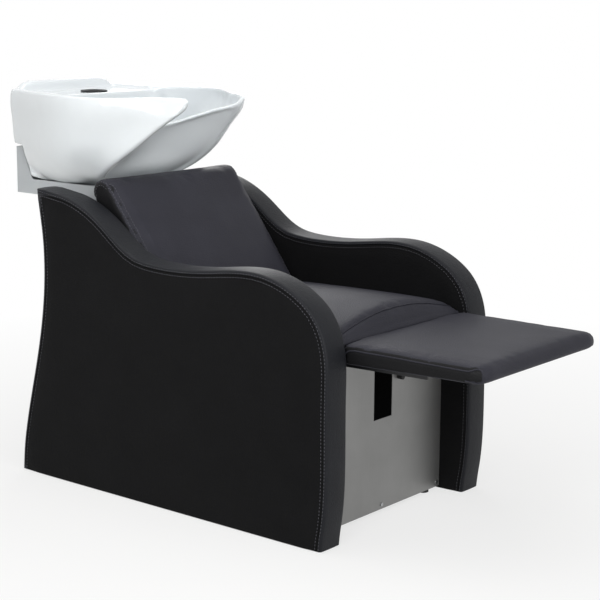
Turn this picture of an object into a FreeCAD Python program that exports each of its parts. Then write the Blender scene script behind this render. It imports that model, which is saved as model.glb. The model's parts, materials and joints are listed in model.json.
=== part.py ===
import FreeCAD, Part
import Sketcher
import math
import os
import re
from FreeCAD import Placement, Rotation, Vector

doc = FreeCAD.newDocument("hair_washing_bed")
sheet = doc.addObject("Spreadsheet::Sheet", "Sizes")

# Driving dimensions in millimetres. Heights are above the floor, depths are behind the panels' front face.
driving = [
    ("overall_width", 660), ("footrest_reach", 365), ("basin_overhang", 179), ("panel_width", 75),
    ("panel_depth", 1041), ("shoulder_inset", 81), ("arm_height", 632), ("shoulder_rise", 136),
    ("band_thickness", 6), ("facing_thickness", 6), ("band_round", 5), ("cushion_pull", 12),
    ("cushion_edge_share", 0.08), ("nose_rise", 12.5), ("nose_bulge", 3), ("seat_swell", 4),
    ("glide_width", 30), ("glide_height", 3), ("glide_inset", 90), ("fit_gap", 0.3), ("running_gap", 0.05),
    ("overrun", 5), ("tube_width", 24), ("tube_wall", 1.5), ("rail_depth", 40), ("seat_rail_top", 455.5),
    ("front_panel_gap", 7), ("mid_rail_start", 295), ("seat_rail_reach", 12), ("floor_rail_base", 14),
    ("post_inset", 161), ("console_drop", 48), ("console_rail_lap", 30), ("console_rail_length", 90),
    ("foot_radius", 15), ("foot_stem_radius", 8), ("front_panel_plane", 85), ("sheet_thickness", 1.5),
    ("front_panel_base", 9), ("front_panel_drop", 25), ("slot_width", 74), ("slot_base", 242),
    ("screw_inset", 15), ("screw_rise", 12), ("screw_head_radius", 4.5), ("screw_head_height", 2.5),
    ("screw_radius", 2.2), ("buffer_radius", 7.5), ("buffer_length", 14), ("buffer_place", 64),
    ("buffer_height", 337), ("rear_panel_thickness", 12), ("rear_panel_base", 40), ("rear_panel_drop", 30),
    ("outlet_radius", 35), ("outlet_height", 130), ("board_thickness", 14), ("board_gap", 5),
    ("seat_board_lap", 2), ("seat_board_setback", 28), ("cushion_gap", 4), ("seat_nose", 20.5),
    ("seat_nose_length", 26.5), ("seat_seam_rise", 6), ("seat_crown", 44), ("seat_fall", 20),
    ("seat_rear_gap", 1), ("back_thickness", 80), ("back_length", 412), ("back_recline", 36.7),
    ("back_foot_inset", 493), ("back_foot_rise", 30.5), ("back_crown", 12), ("back_top_round", 38),
    ("back_board_inset", 31), ("back_board_length", 340), ("back_board_rise", 26), ("bracket_thickness", 5),
    ("back_bracket_length", 60), ("back_bracket_rise", 150), ("hinge_depth", 40), ("hinge_drop", 0.5),
    ("hinge_pin_radius", 5), ("hinge_boss_radius", 12), ("hinge_bracket_inset", 40),
    ("hinge_bracket_height", 24), ("arm_gap", 1.5), ("arm_drop", 12), ("arm_length", 210),
    ("footrest_drop", 25), ("footrest_boxing", 47), ("footrest_crown", 7), ("footrest_taper", 10),
    ("footrest_tip_round", 20), ("footrest_board_inset", 26), ("footrest_board_thickness", 12),
    ("footrest_root", 20), ("footrest_corner", 26), ("footrest_edge_share", 0.03), ("footrest_swell", 3),
    ("tab_thickness", 3), ("tab_width", 28), ("tab_start", 60), ("bolt_inset", 20), ("bolt_radius", 8),
    ("bolt_head_height", 4), ("lever_pin_depth", -4), ("lever_pin_drop", 46), ("lever_pin_radius", 4),
    ("lever_gap", 9), ("lever_thickness", 4), ("lever_wall", 5), ("lever_foot_length", 100),
    ("lever_slot_radius", 11), ("lever_chamfer", 8), ("lever_slot_length", 11.5), ("lever_slot_rise", 4.65),
    ("lever_slot_shift", 7.45), ("base_pin_place", 15), ("base_pin_drop", 50), ("ear_gap", 0.6),
    ("ear_thickness", 4), ("pin_overhang", 2.5), ("eye_radius", 9), ("eye_width", 12),
    ("barrel_radius", 11), ("barrel_wall", 1.6), ("barrel_start", 18), ("barrel_length", 165),
    ("gland_length", 12), ("rod_radius", 5), ("rod_depth_in_barrel", 40), ("piston_length", 14),
    ("basin_half_width", 266), ("basin_bowl_height", 245), ("basin_lift", 37), ("basin_length", 606),
    ("basin_horn_spread", 106), ("basin_rear_half_width", 185), ("basin_wall", 10), ("horn_round", 14),
    ("basin_notch_drop", 85), ("basin_deck_length", 190), ("basin_deck_drop", 10), ("basin_floor_rise", 19),
    ("basin_ledge_rise", 20), ("basin_ledge_depth", 30), ("basin_skirt_rise", 96),
    ("basin_recess_length", 58), ("mixer_hole_radius", 32), ("mixer_hole_inset", 138), ("drain_inset", 230),
    ("drain_radius", 22), ("sieve_slot_width", 4), ("sieve_slot_pitch", 9), ("waste_pipe_radius", 16),
    ("waste_pipe_wall", 2), ("spigot_step", 1), ("waste_pipe_drop", 67), ("strainer_thickness", 3),
    ("waste_nut_radius", 30),
    ("waste_nut_height", 14), ("housing_half_width", 170), ("housing_wall", 3), ("housing_length", 362),
    ("housing_inset", 8), ("housing_wall_rise", 25), ("housing_rear_rise", 126),
    ("housing_slope_length", 60), ("housing_slot_half_width", 34), ("housing_slot_reach", 65),
    ("housing_slot_length", 105), ("tilt_inset", 30), ("tilt_rise", 118), ("tilt_pin_radius", 5),
    ("tilt_boss_radius", 10), ("tilt_arm_place", 118), ("tilt_plate_reach", 65), ("tilt_plate_length", 150),
    ("tilt_plate_thickness", 5), ("rest_stop_place", 80), ("rest_stop_lap", 15), ("rest_stop_width", 24),
    ("tilt_arm_run", 32), ("tilt_ear_gap", 1), ("tilt_ear_thickness", 4),
]

# Sizes worked out from those, so that what belongs together moves together.
derived = [
    ("seat_board_width", "overall_width - 2 * panel_width - 2 * board_gap"),
    ("seat_width", "overall_width - 2 * panel_width - 2 * cushion_gap"),
    ("back_width", "overall_width - 2 * panel_width - 2 * cushion_gap"),
    ("footrest_width", "overall_width - 2 * panel_width - 2 * board_gap"),
    ("back_board_width", "back_width - 2 * back_board_inset"),
    ("hinge_bracket_inner", "overall_width / 2 - panel_width - hinge_bracket_inset"),
    ("shoulder_depth", "panel_depth - shoulder_inset"),
    ("post_start", "panel_depth - post_inset"),
    ("shoulder_height", "arm_height + shoulder_rise"),
    ("console_height", "shoulder_height - console_drop"),
    ("console_rail_start", "post_start - console_rail_lap"),
    ("console_rail_end", "console_rail_start + console_rail_length"),
    ("rear_panel_top", "console_height - rear_panel_drop"),
    ("front_rail_start", "front_panel_plane + front_panel_gap"),
    ("back_foot_depth", "panel_depth - back_foot_inset"),
    ("seat_rail_end", "back_foot_depth + seat_rail_reach"),
    ("seat_rail_length", "seat_rail_end - front_rail_start"),
    ("seat_board_start", "front_rail_start + seat_board_lap"),
    ("seat_board_end", "back_foot_depth - seat_board_setback"),
    ("seat_board_length", "seat_board_end - seat_board_start"),
    ("basin_rear", "panel_depth + basin_overhang"),
    ("basin_horn_depth", "basin_rear - basin_length"),
    ("nose_height", "seat_rail_top + board_thickness + nose_rise"),
    ("seat_seam_height", "nose_height + seat_seam_rise"),
    ("seat_seam_depth", "seat_nose + seat_nose_length"),
    ("back_foot_height", "seat_rail_top + back_foot_rise"),
    ("hinge_height", "seat_rail_top - hinge_drop"),
    ("front_panel_top", "hinge_height - front_panel_drop"),
    ("footrest_base", "hinge_height - footrest_drop"),
    ("footrest_seam_height", "footrest_base + footrest_boxing"),
    ("footrest_crown_height", "footrest_seam_height + footrest_crown"),
    ("footrest_tip_base", "footrest_base + footrest_taper"),
    ("lever_pin_height", "hinge_height - lever_pin_drop"),
    ("base_pin_height", "hinge_height - base_pin_drop"),
    ("base_pin_depth", "mid_rail_start + base_pin_place"),
    ("basin_base_height", "console_height + basin_lift"),
    ("basin_rim_height", "basin_base_height + basin_bowl_height"),
    ("basin_notch_height", "basin_rim_height - basin_notch_drop"),
    ("basin_deck_height", "basin_rim_height - basin_deck_drop"),
    ("basin_floor_height", "basin_base_height + basin_floor_rise"),
    ("basin_ledge_height", "basin_rim_height + basin_ledge_rise"),
    ("basin_skirt_height", "basin_base_height + basin_skirt_rise"),
    ("basin_deck_start", "basin_rear - basin_deck_length"),
    ("basin_recess_start", "basin_rear - basin_recess_length"),
    ("mixer_hole_depth", "basin_rear - mixer_hole_inset"),
    ("drain_depth", "basin_rear - drain_inset"),
    ("waste_pipe_end", "basin_base_height - waste_pipe_drop"),
    ("housing_rear", "basin_rear - housing_inset"),
    ("housing_front", "housing_rear - housing_length"),
    ("housing_wall_height", "console_height + housing_wall_rise"),
    ("housing_rear_height", "console_height + housing_rear_rise"),
    ("housing_slope_start", "housing_rear - housing_slope_length"),
    ("housing_slot_start", "drain_depth - housing_slot_reach"),
    ("housing_slot_end", "housing_slot_start + housing_slot_length"),
    ("tilt_depth", "basin_rear - tilt_inset"),
    ("tilt_height", "console_height + tilt_rise"),
    ("tilt_plate_start", "drain_depth - tilt_plate_reach"),
    ("tilt_plate_end", "tilt_plate_start + tilt_plate_length"),
    ("tilt_arm_low", "tilt_depth - tilt_arm_run"),
    ("rest_stop_depth", "tilt_plate_start + rest_stop_lap"),
]
for row, (alias, amount) in enumerate(driving + derived, 1):
    sheet.set("A%d" % row, alias)
    sheet.set("B%d" % row, "=%s" % amount)
    sheet.setAlias("B%d" % row, alias)
doc.recompute()

known = {alias for alias, amount in driving + derived}
size = {alias: float(sheet.get(alias)) for alias in known}

# The origin lies under the middle of the part: half way between the leg rest's tip and the basin's rear.
front_y = "(footrest_reach - basin_rear) / 2"
front = (size["footrest_reach"] - size["basin_rear"]) / 2
inner_x = size["overall_width"] / 2 - size["panel_width"]
nodes = []


def formula(text):
    """A cell expression from plain aliases."""
    return re.sub(r"[a-z]\w+", lambda word: "Sizes." + word[0] if word[0] in known else word[0], text)


def bind(thing, **bound):
    for prop, text in bound.items():
        thing.setExpression(prop, formula(text))


def place(thing, corner, turn=None):
    if turn:
        thing.Placement = Placement(Vector(), turn)
    for axis, text in zip("xyz", corner):
        thing.setExpression("Placement.Base." + axis, formula(text))


def node(thing, label):
    thing.Label = label
    nodes.append(thing)
    return thing


def behind(text):
    """A depth behind the panels' front face, in the part's own frame."""
    return "%s + %s" % (front_y, text)


def box(name, corner, extent):
    made = doc.addObject("Part::Box", name)
    bind(made, **dict(zip(("Length", "Width", "Height"), extent)))
    place(made, corner)
    return made


turns = {"x": Rotation(Vector(0, 1, 0), 90), "y": Rotation(Vector(1, 0, 0), -90), "z": Rotation()}


def cylinder(name, centre, radius, height, along="z"):
    made = doc.addObject("Part::Cylinder", name)
    bind(made, Radius=radius, Height=height)
    place(made, centre, turns[along])
    return made


def hexagon(name, centre, radius, height, along="z"):
    made = doc.addObject("Part::Prism", name)
    made.Polygon = 6
    bind(made, Circumradius=radius, Height=height)
    place(made, centre, turns[along])
    return made


def fuse(name, shapes):
    made = doc.addObject("Part::MultiFuse", name)
    made.Shapes = shapes
    made.Refine = True
    return made


def cut(name, base, tools):
    made = doc.addObject("Part::Cut", name)
    made.Base = base
    made.Tool = tools[0] if len(tools) == 1 else fuse(name + "_tools", tools)
    return made


def group(name, solids):
    made = doc.addObject("Part::Compound", name)
    made.Links = solids
    return made


def formed(name, shape, base=None, turn=None):
    """A free-form solid worked out from the sheet's sizes, then placed."""
    made = doc.addObject("Part::Feature", name)
    made.Shape = shape
    made.Placement = Placement(base or Vector(0, front, 0), turn or Rotation()) * shape.Placement
    return made


def outline_sketch(body, name, role, corners):
    """A closed outline on one of the body's origin planes, each corner bound to the sheet."""
    sketch = body.newObject("Sketcher::SketchObject", name)
    plane = [feature for feature in body.Origin.OriginFeatures if feature.Role == role][0]
    sketch.AttachmentSupport = (plane, "")
    sketch.MapMode = "FlatFace"
    count = len(corners)
    spot = [Vector(math.cos(turn), math.sin(turn), 0) for turn in
            (2 * math.pi * index / count for index in range(count))]
    for index in range(count):
        sketch.addGeometry(Part.LineSegment(spot[index], spot[(index + 1) % count]))
    for index in range(count):
        sketch.addConstraint(Sketcher.Constraint("Coincident", index, 2, (index + 1) % count, 1))
    for index, corner in enumerate(corners):
        for kind, text in zip(("DistanceX", "DistanceY"), corner):
            label = "%s_%d" % (kind, index)
            number = sketch.addConstraint(Sketcher.Constraint(kind, -1, 1, index, 1, 1.0))
            sketch.renameConstraint(number, label)
            sketch.setExpression("Constraints." + label, formula(text))
    return sketch


def circle_sketch(body, name, role, circles):
    """Circles, each given by its centre's two formulas and its radius."""
    sketch = body.newObject("Sketcher::SketchObject", name)
    plane = [feature for feature in body.Origin.OriginFeatures if feature.Role == role][0]
    sketch.AttachmentSupport = (plane, "")
    sketch.MapMode = "FlatFace"
    for index, (across, up, radius) in enumerate(circles):
        sketch.addGeometry(Part.Circle(Vector(index + 1, index + 1, 0), Vector(0, 0, 1), 1))
        for kind, text, places in (("DistanceX", across, (-1, 1, index, 3)), ("DistanceY", up, (-1, 1, index,
                                                                                                3)),
                                   ("Radius", radius, (index,))):
            label = "%s_%d" % (kind, index)
            number = sketch.addConstraint(Sketcher.Constraint(kind, *places, 1.0))
            sketch.renameConstraint(number, label)
            sketch.setExpression("Constraints." + label, formula(text))
    return sketch


def plate(name, role, corners, thickness, corner, holes=(), bosses=()):
    """A flat plate: a padded outline, with round bosses added and round holes cut through."""
    body = doc.addObject("PartDesign::Body", name)
    pad = body.newObject("PartDesign::Pad", name + "_pad")
    pad.Profile = outline_sketch(body, name + "_outline", role, corners)
    bind(pad, Length=thickness)
    if bosses:
        boss = body.newObject("PartDesign::Pad", name + "_boss")
        boss.Profile = circle_sketch(body, name + "_boss_outline", role, bosses)
        bind(boss, Length=thickness)
    if holes:
        doc.recompute()
        bore = body.newObject("PartDesign::Pocket", name + "_holes")
        bore.Profile = circle_sketch(body, name + "_hole_outline", role, holes)
        bore.Type = 1
        bore.Midplane = True
    place(body, corner)
    return body


def arc(first, middle, last):
    return Part.Arc(Vector(*first), Vector(*middle), Vector(*last)).toShape()


def line(first, last):
    return Part.makeLine(Vector(*first), Vector(*last))


def facet(*corners):
    return Part.Face(Part.makePolygon(corners + corners[:1]))


def skin(rings):
    """A solid with flat facets between rings that have equally many points, closed at both ends."""
    faces = [facet(*rings[0]), facet(*rings[-1])]
    for low, high in zip(rings, rings[1:]):
        for index in range(len(low)):
            a, b, c, d = low[index - 1], low[index], high[index], high[index - 1]
            if a.distanceToPoint(c) < b.distanceToPoint(d):
                faces += [facet(a, b, c), facet(a, c, d)]
            else:
                faces += [facet(a, b, d), facet(b, c, d)]
    solid = Part.Solid(Part.makeShell(faces))
    return solid if solid.Volume > 0 else solid.reversed()


def smooth_curve(points):
    curve = Part.BSplineCurve()
    curve.interpolate([Vector(*point) for point in points])
    return curve


# Side panels: a board core between two padded facings, with a padded band sewn round the edge.

# Each point is a share of the panel's depth and of the arm's height.
arm_shares = [(0.021, 0), (0.006, 0.12), (0, 0.30), (0.0005, 0.59), (0.0065, 0.765), (0.041, 0.880),
              (0.093, 0.946), (0.192, 0.999), (0.357, 0.981), (0.530, 0.972)]
# Each point is a share of the panel's depth and of the rise from the arm to the shoulder.
rise_shares = [(0.587, -0.06), (0.690, 0.45), (0.800, 0.86), (0.905, 0.990)]
# Each point is a share of the panel's depth and of the shoulder's height.
rear_shares = [(1.0, 0), (0.979, 0.180), (0.930, 0.440), (0.900, 0.722), (0.904, 0.858)]


def inward(curve, point):
    """The unit normal on the right of a curve's run, at a point on it."""
    along = curve.tangent(curve.parameter(Vector(*point)))[0]
    return Vector(0, along.z, -along.y)


# The outline is drawn in short chords: how many points each stretch has.
crown_points, rear_points = 49, 16


def panel_outline(x, margin):
    """The side view at x, drawn in by a margin: upright front, S-shaped arm, shoulder, hollow rear edge."""
    depth, arm, shoulder = size["panel_depth"], size["arm_height"], size["shoulder_height"]
    base = size["glide_height"] - size["overrun"]
    corner = (x, size["shoulder_depth"], shoulder)
    crown = [(x, depth * across, base + (arm - base) * up) for across, up in arm_shares]
    crown += [(x, depth * across, arm + (shoulder - arm) * up) for across, up in rise_shares] + [corner]
    rear = [corner] + [(x, depth * across, base + (shoulder - base) * up) for across,
                       up in reversed(rear_shares)]
    crown_curve, rear_curve = smooth_curve(crown), smooth_curve(rear)
    first, second = inward(crown_curve, corner), inward(rear_curve, corner)
    drawn_corner = Vector(*corner) + (first + second) * (margin / (1 + first.dot(second)))

    def drawn(curve, points):
        moved = [Vector(*point) + inward(curve, point) * margin for point in points]
        return [(spot.x, spot.y, base if point[2] == base else spot.z) for spot, point in zip(moved, points)]

    top = drawn(crown_curve, crown[:-1]) + [tuple(drawn_corner)]
    back = [tuple(drawn_corner)] + drawn(rear_curve, rear[1:])
    return smooth_curve(top).discretize(crown_points) + smooth_curve(back).discretize(rear_points)[1:]


def slab(x, thickness, margin):
    return facet(*panel_outline(x, margin)).extrude(Vector(thickness, 0, 0))


def off_the_floor(solid):
    """The outline runs past its foot, and is cut level there."""
    bound, margin = solid.BoundBox, size["overrun"]
    return solid.cut(Part.makeBox(bound.XLength + 2 * margin, bound.YLength + 2 * margin,
                                  margin + size["glide_height"] - bound.ZMin,
                                  Vector(bound.XMin - margin, bound.YMin - margin, bound.ZMin - margin)))


# A rounded edge in two flats: each is a share of the radius across and inwards.
edge_round_shares = [(0, 1), (0.29, 0.29), (1, 0)]


def panel_pieces(side, hand):
    width, facing, band = size["panel_width"], size["facing_thickness"], size["band_thickness"]
    soft = size["band_round"]
    start = inner_x if side > 0 else -inner_x - width
    rim = [(start + soft * across, soft * inset) for across, inset in edge_round_shares]
    rim += [(start + width - soft * across, soft * inset) for across, inset in reversed(edge_round_shares)]
    whole = skin([panel_outline(x, margin) for x, margin in rim])
    ring_solid = whole.cut(slab(start - facing, width + 2 * facing, band))
    outer, inner = (start, start + width - facing) if side < 0 else (start + width - facing, start)
    for label, solid in (("core", slab(start + facing, width - 2 * facing, band)), ("edge_band", ring_solid),
                         ("outer_facing", slab(outer, facing, band)), ("inner_facing", slab(inner, facing,
                                                                                            band))):
        name = "%s_panel_%s" % (hand, label)
        node(formed(name + "_form", off_the_floor(solid)), name)


sides = ((-1, "right"), (1, "left"))
for side, hand in sides:
    panel_pieces(side, hand)

inner_face = "(overall_width / 2 - panel_width)"
glides = []
for side, hand in sides:
    for end, depth in (("front", "glide_inset"), ("rear", "panel_depth - glide_inset")):
        corner = ("%d * (overall_width - panel_width) / 2 - glide_width / 2" % side,
                  behind(depth + " - glide_width / 2"), "0")
        glides.append(box("glide_%s_%s" % (hand, end), corner, ("glide_width", "glide_width",
                                                                "glide_height")))
node(group("floor_glides_group", glides), "floor_glides")


# Chassis: square tubes welded into one frame that stands between the panels and ties them together.

def tube(name, corner, extent):
    """A closed-ended tube's outside and its hollow."""
    outside = box(name, corner, extent)
    inside = box(name + "_hollow", ["%s + tube_wall" % text for text in corner],
                 ["%s - 2 * tube_wall" % text for text in extent])
    return outside, inside


def chassis():
    width = "tube_width"
    seat_base, post_base = "seat_rail_top - tube_width", "floor_rail_base + tube_width"
    top_base = "console_height - tube_width"
    across = "2 * %s - 2 * tube_width" % inner_face
    cross_start = "-%s + tube_width" % inner_face
    tubes = []
    for side, hand in sides:
        x = "-%s" % inner_face if side < 0 else "%s - tube_width" % inner_face
        for label, start, base, length, height in (
                ("floor_rail", "front_rail_start", "floor_rail_base",
                 "post_start + tube_width - front_rail_start",
                 width),
                ("seat_rail", "front_rail_start", seat_base, "seat_rail_end - front_rail_start", width),
                ("top_rail", "console_rail_start", top_base, "console_rail_end - console_rail_start", width),
                ("front_post", "front_rail_start", post_base, width,
                 "seat_rail_top - 2 * tube_width - floor_rail_base"),
                ("mid_post", "seat_rail_end - tube_width", post_base, width,
                 "seat_rail_top - 2 * tube_width - floor_rail_base"),
                ("rear_post", "post_start", post_base, width,
                 "console_height - 2 * tube_width - floor_rail_base")):
            tubes.append(tube("%s_%s" % (hand, label), (x, behind(start), base), (width, length, height)))
    for label, start, base, depth in (
            ("front_floor_cross", "front_rail_start", "floor_rail_base", width),
            ("rear_floor_cross", "post_start", "floor_rail_base", width),
            ("front_seat_cross", "front_rail_start", seat_base, "rail_depth"),
            ("mid_seat_cross", "mid_rail_start", seat_base, width),
            ("rear_seat_cross", "seat_rail_end - tube_width", seat_base, width),
            ("front_top_cross", "console_rail_start", top_base, width),
            ("rear_top_cross", "console_rail_end - tube_width", top_base, width)):
        tubes.append(tube(label, (cross_start, behind(start), base), (across, depth, width)))
    return cut("chassis", fuse("chassis_tubes", [outside for outside, inside in tubes]),
               [inside for outside, inside in tubes])


node(chassis(), "chassis_frame")

feet = []
for side, hand in sides:
    for end, depth in (("front", "front_rail_start"), ("rear", "post_start")):
        spot = ("%d * (%s - 2 * tube_width)" % (side, inner_face), behind(depth + " + tube_width / 2"))
        disc = cylinder("foot_%s_%s" % (hand, end), spot + ("0",), "foot_radius", "floor_rail_base / 2")
        stem = hexagon("stem_%s_%s" % (hand, end), spot + ("0",), "foot_stem_radius", "floor_rail_base")
        feet.append(fuse("levelling_%s_%s" % (hand, end), [disc, stem]))
node(group("levelling_feet_group", feet), "levelling_feet")


# Front panel: folded sheet steel on the front posts, with a slot for the leg rest's lever.

panel_half = "(%s - fit_gap)" % inner_face
front_face = box("front_skin", ("-" + panel_half, behind("front_panel_plane"), "front_panel_base"),
           ("2 * " + panel_half, "sheet_thickness", "front_panel_top - front_panel_base"))
flange_depth = "front_rail_start - front_panel_plane"
flanges = [box("front_flange_" + hand, ("-" + panel_half if side < 0 else panel_half + " - sheet_thickness",
                                        behind("front_panel_plane"), "front_panel_base"),
               ("sheet_thickness", flange_depth,
                "front_panel_top - front_panel_base")) for side, hand in sides]
slot = box("front_slot", ("-slot_width / 2", behind("front_panel_plane - overrun"), "slot_base"),
           ("slot_width", "sheet_thickness + 2 * overrun", "front_panel_top - slot_base + overrun"))
screw_height = "front_panel_base + screw_rise"
screw_places = [("middle", "0")] + [(hand, "%d * (%s - screw_inset)" % (side, panel_half)) for side,
                                    hand in sides]
screw_holes, screws = [], []
for label, across in screw_places:
    head_start = behind("front_panel_plane - screw_head_height")
    screw_holes.append(cylinder("hole_" + label, (across, behind("front_panel_plane - overrun"),
                                                  screw_height),
                                "screw_radius + running_gap", "sheet_thickness + 2 * overrun", "y"))
    head = cylinder("screw_head_" + label, (across, head_start, screw_height), "screw_head_radius",
                    "screw_head_height", "y")
    shank = cylinder("screw_shank_" + label, (across, head_start, screw_height), "screw_radius",
                     "screw_head_height + " + flange_depth, "y")
    screws.append(fuse("screw_" + label, [head, shank]))
node(cut("front_sheet", fuse("front_folded", [front_face] + flanges), [slot] + screw_holes), "front_panel")
node(group("front_screws", screws), "front_panel_screws")
buffer_spot = ("buffer_place", behind("front_panel_plane - buffer_length"), "buffer_height")
node(cylinder("buffer_stud", buffer_spot, "buffer_radius", "buffer_length", "y"), "leg_rest_buffer")


# Rear access panel on the rear posts, with an outlet for the hoses and waste.

rear_start = "post_start + tube_width"
rear_half = panel_half
rear_high = "(rear_panel_top - rear_panel_base)"
node(plate("rear_board", "XZ_Plane", [("0", "0"), ("2 * " + rear_half, "0"), ("2 * " + rear_half, rear_high),
                                      ("0", rear_high)], "rear_panel_thickness",
           ("-" + rear_half, behind(rear_start + " + rear_panel_thickness"), "rear_panel_base"),
           holes=[(rear_half, "outlet_height - rear_panel_base", "outlet_radius")]), "rear_access_panel")
rear_screws = []
for side, hand in sides:
    for level, rise in (("lower", "rear_panel_base + screw_inset"), ("upper",
                                                                     "rear_panel_top - screw_inset")):
        spot = ("%d * (%s - tube_width / 2)" % (side, inner_face),
                behind(rear_start + " + rear_panel_thickness"),
                rise)
        rear_screws.append(hexagon("rear_screw_%s_%s" % (hand, level), spot, "screw_head_radius",
                                   "screw_head_height", "y"))
node(group("rear_screws_group", rear_screws), "rear_panel_screws")


# Seat: a board on the rails and a crowned cushion that overhangs the leg rest's hinge.

node(box("seat_board_box", ("-seat_board_width / 2", behind("seat_board_start"), "seat_rail_top"),
         ("seat_board_width", "seat_board_end - seat_board_start", "board_thickness")), "seat_board")

recline = math.radians(size["back_recline"])


def back_face(height, crown_share):
    """How far back the leaning back cushion's crowned face is at a height."""
    rise = max(0, height - size["back_foot_height"])
    share = rise / math.cos(recline) / (size["back_length"] - size["back_top_round"])
    crown = 4 * size["back_crown"] * crown_share * share * (1 - share)
    return size["back_foot_depth"] + rise * math.tan(recline) - crown / math.cos(recline)


def ring(*stretches):
    """The points round a cushion's section: each stretch is an edge and its number of chords."""
    return [spot for edge, chords in stretches for spot in edge.discretize(chords + 1)[:-1]]


def stations(count, edge_share):
    """Across a cushion: a place from -1 to 1, the crown's share and how far the sides are drawn in there."""
    made = []
    for index in range(count + 1):
        across = math.sin(math.pi / 2 * index / count)
        past = max(0, (across - 1 + edge_share) / edge_share)
        made.append((across, 1 - across ** 2, 1 - math.sqrt(1 - past ** 2)))
    return [(-across, crown, pull) for across, crown, pull in made[:0:-1]] + made


cushion_stations = stations(6, size["cushion_edge_share"])
pull_in = size["cushion_pull"]


def seat_section(x, crown_share, pull_share):
    pull = pull_in * pull_share
    base = size["seat_rail_top"] + size["board_thickness"]
    nose, seam = size["seat_nose"] + pull, size["seat_seam_depth"]
    seam_top = size["seat_seam_height"] - pull / 2 + size["seat_crown"] * crown_share
    back_top = seam_top - size["seat_fall"] * crown_share
    rear_foot = size["back_foot_depth"] - size["seat_rear_gap"] - pull
    rear_top = back_face(back_top, crown_share) - size["seat_rear_gap"] - pull_in / 10 - pull
    lift = size["nose_height"] - pull / 2
    heel = min(size["back_foot_height"], back_top - size["nose_bulge"])
    corners = [(x, nose, base), (x, nose, lift), (x, seam, seam_top), (x, rear_top, back_top),
               (x, rear_foot, heel), (x, rear_foot, base)]
    bulge = (x, (nose + seam) / 2 - size["nose_bulge"] * crown_share,
             (lift + seam_top) / 2 + size["nose_bulge"])
    top = (x, (seam + rear_top) / 2, (seam_top + back_top) / 2 + size["seat_swell"])
    return ring((line(corners[0], corners[1]), 1), (arc(corners[1], bulge, corners[2]), 3),
                (arc(corners[2], top, corners[3]), 8), (line(corners[3], corners[4]), 1),
                (line(corners[4], corners[5]), 1), (line(corners[5], corners[0]), 1))


node(formed("seat_pad", skin([seat_section(half * size["seat_width"] / 2, crown, pull)
                              for half, crown, pull in cushion_stations])), "seat_cushion")


# Back: a thick cushion with a rolled top on a board, leaning between the side panels.

back_place = Vector(0, front + size["back_foot_depth"], size["back_foot_height"])
back_turn = Rotation(Vector(1, 0, 0), -size["back_recline"])


def back_section(x, crown_share, pull_share):
    pull = pull_in * pull_share
    thick, length, roll = size["back_thickness"], size["back_length"] - pull, size["back_top_round"] - pull
    face, rear = pull, thick - pull
    front_roll, rear_roll = (x, face, length - roll), (x, rear, length - roll)
    crown = (x, face - size["back_crown"] * crown_share - pull_in / 10, (length - roll) / 2)
    return ring((arc((x, face, pull), crown, front_roll), 6), (arc(front_roll, (x, thick / 2, length),
                                                                   rear_roll), 7),
                (line(rear_roll, (x, rear, pull)), 1), (line((x, rear, pull), (x, face, pull)), 1))


node(formed("back_pad", skin([back_section(half * size["back_width"] / 2, crown, pull)
                              for half, crown, pull in cushion_stations]), back_place, back_turn),
     "back_cushion")
board = Part.makeBox(size["back_board_width"], size["board_thickness"], size["back_board_length"],
                     Vector(-size["back_board_width"] / 2, size["back_thickness"], size["back_board_rise"]))
node(formed("back_plywood", board, back_place, back_turn), "back_board")


def back_bracket(side):
    """A steel strap from the back board's rear face out to the side panel, with an upright screw flange."""
    thick, long = size["bracket_thickness"], size["back_bracket_length"]
    start = size["back_board_width"] / 2 - long
    rise = size["back_bracket_rise"]
    behind_board = size["back_thickness"] + size["board_thickness"]
    strap = Part.makeBox(inner_x - start, thick, long, Vector(start, behind_board, rise))
    flange = Part.makeBox(thick, long, long, Vector(inner_x - thick, behind_board, rise))
    solid = strap.fuse(flange).removeSplitter()
    return solid if side > 0 else solid.mirror(Vector(), Vector(1, 0, 0))


node(formed("back_brackets_pair", Part.Compound([back_bracket(side) for side, hand in sides]), back_place,
            back_turn), "back_brackets")


# Leg rest: a tapered pad on a board, carried by two hinge arms and a slotted lever. Depths run from its tip.

def under(depth):
    """The height of the pad's sloping underside at a depth from the tip."""
    slope = "(footrest_tip_base - footrest_base) / (footrest_reach + footrest_root)"
    return "(footrest_tip_base - %s * (%s))" % (slope, depth)


def underside(depth):
    drop = size["footrest_tip_base"] - size["footrest_base"]
    return size["footrest_tip_base"] - drop * (depth + size["footrest_reach"]) / (
        size["footrest_reach"] + size["footrest_root"])


def leg_pad_section(x, crown_share, pull_share, corner_share):
    pull = pull_in * pull_share / 2
    tip = -size["footrest_reach"] + size["footrest_corner"] * corner_share + pull
    roll = tip + size["footrest_tip_round"]
    root = size["footrest_root"]
    seam = size["footrest_seam_height"] - pull
    top = seam + (size["footrest_crown_height"] - seam) * min(1, 3 * crown_share)
    base_tip, base_root = underside(roll) + pull, underside(root) + pull
    middle = (top + base_tip) / 2
    root_top = top - size["footrest_swell"] / 3
    crest = (x, (root + roll) / 2, top + size["footrest_swell"] / 3)
    return ring((line((x, root, base_root), (x, root, root_top)), 1),
                (arc((x, root, root_top), crest, (x, roll, top)), 5),
                (arc((x, roll, top), (x, tip, middle), (x, roll, base_tip)), 7),
                (line((x, roll, base_tip), (x, root, base_root)), 1))


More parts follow.
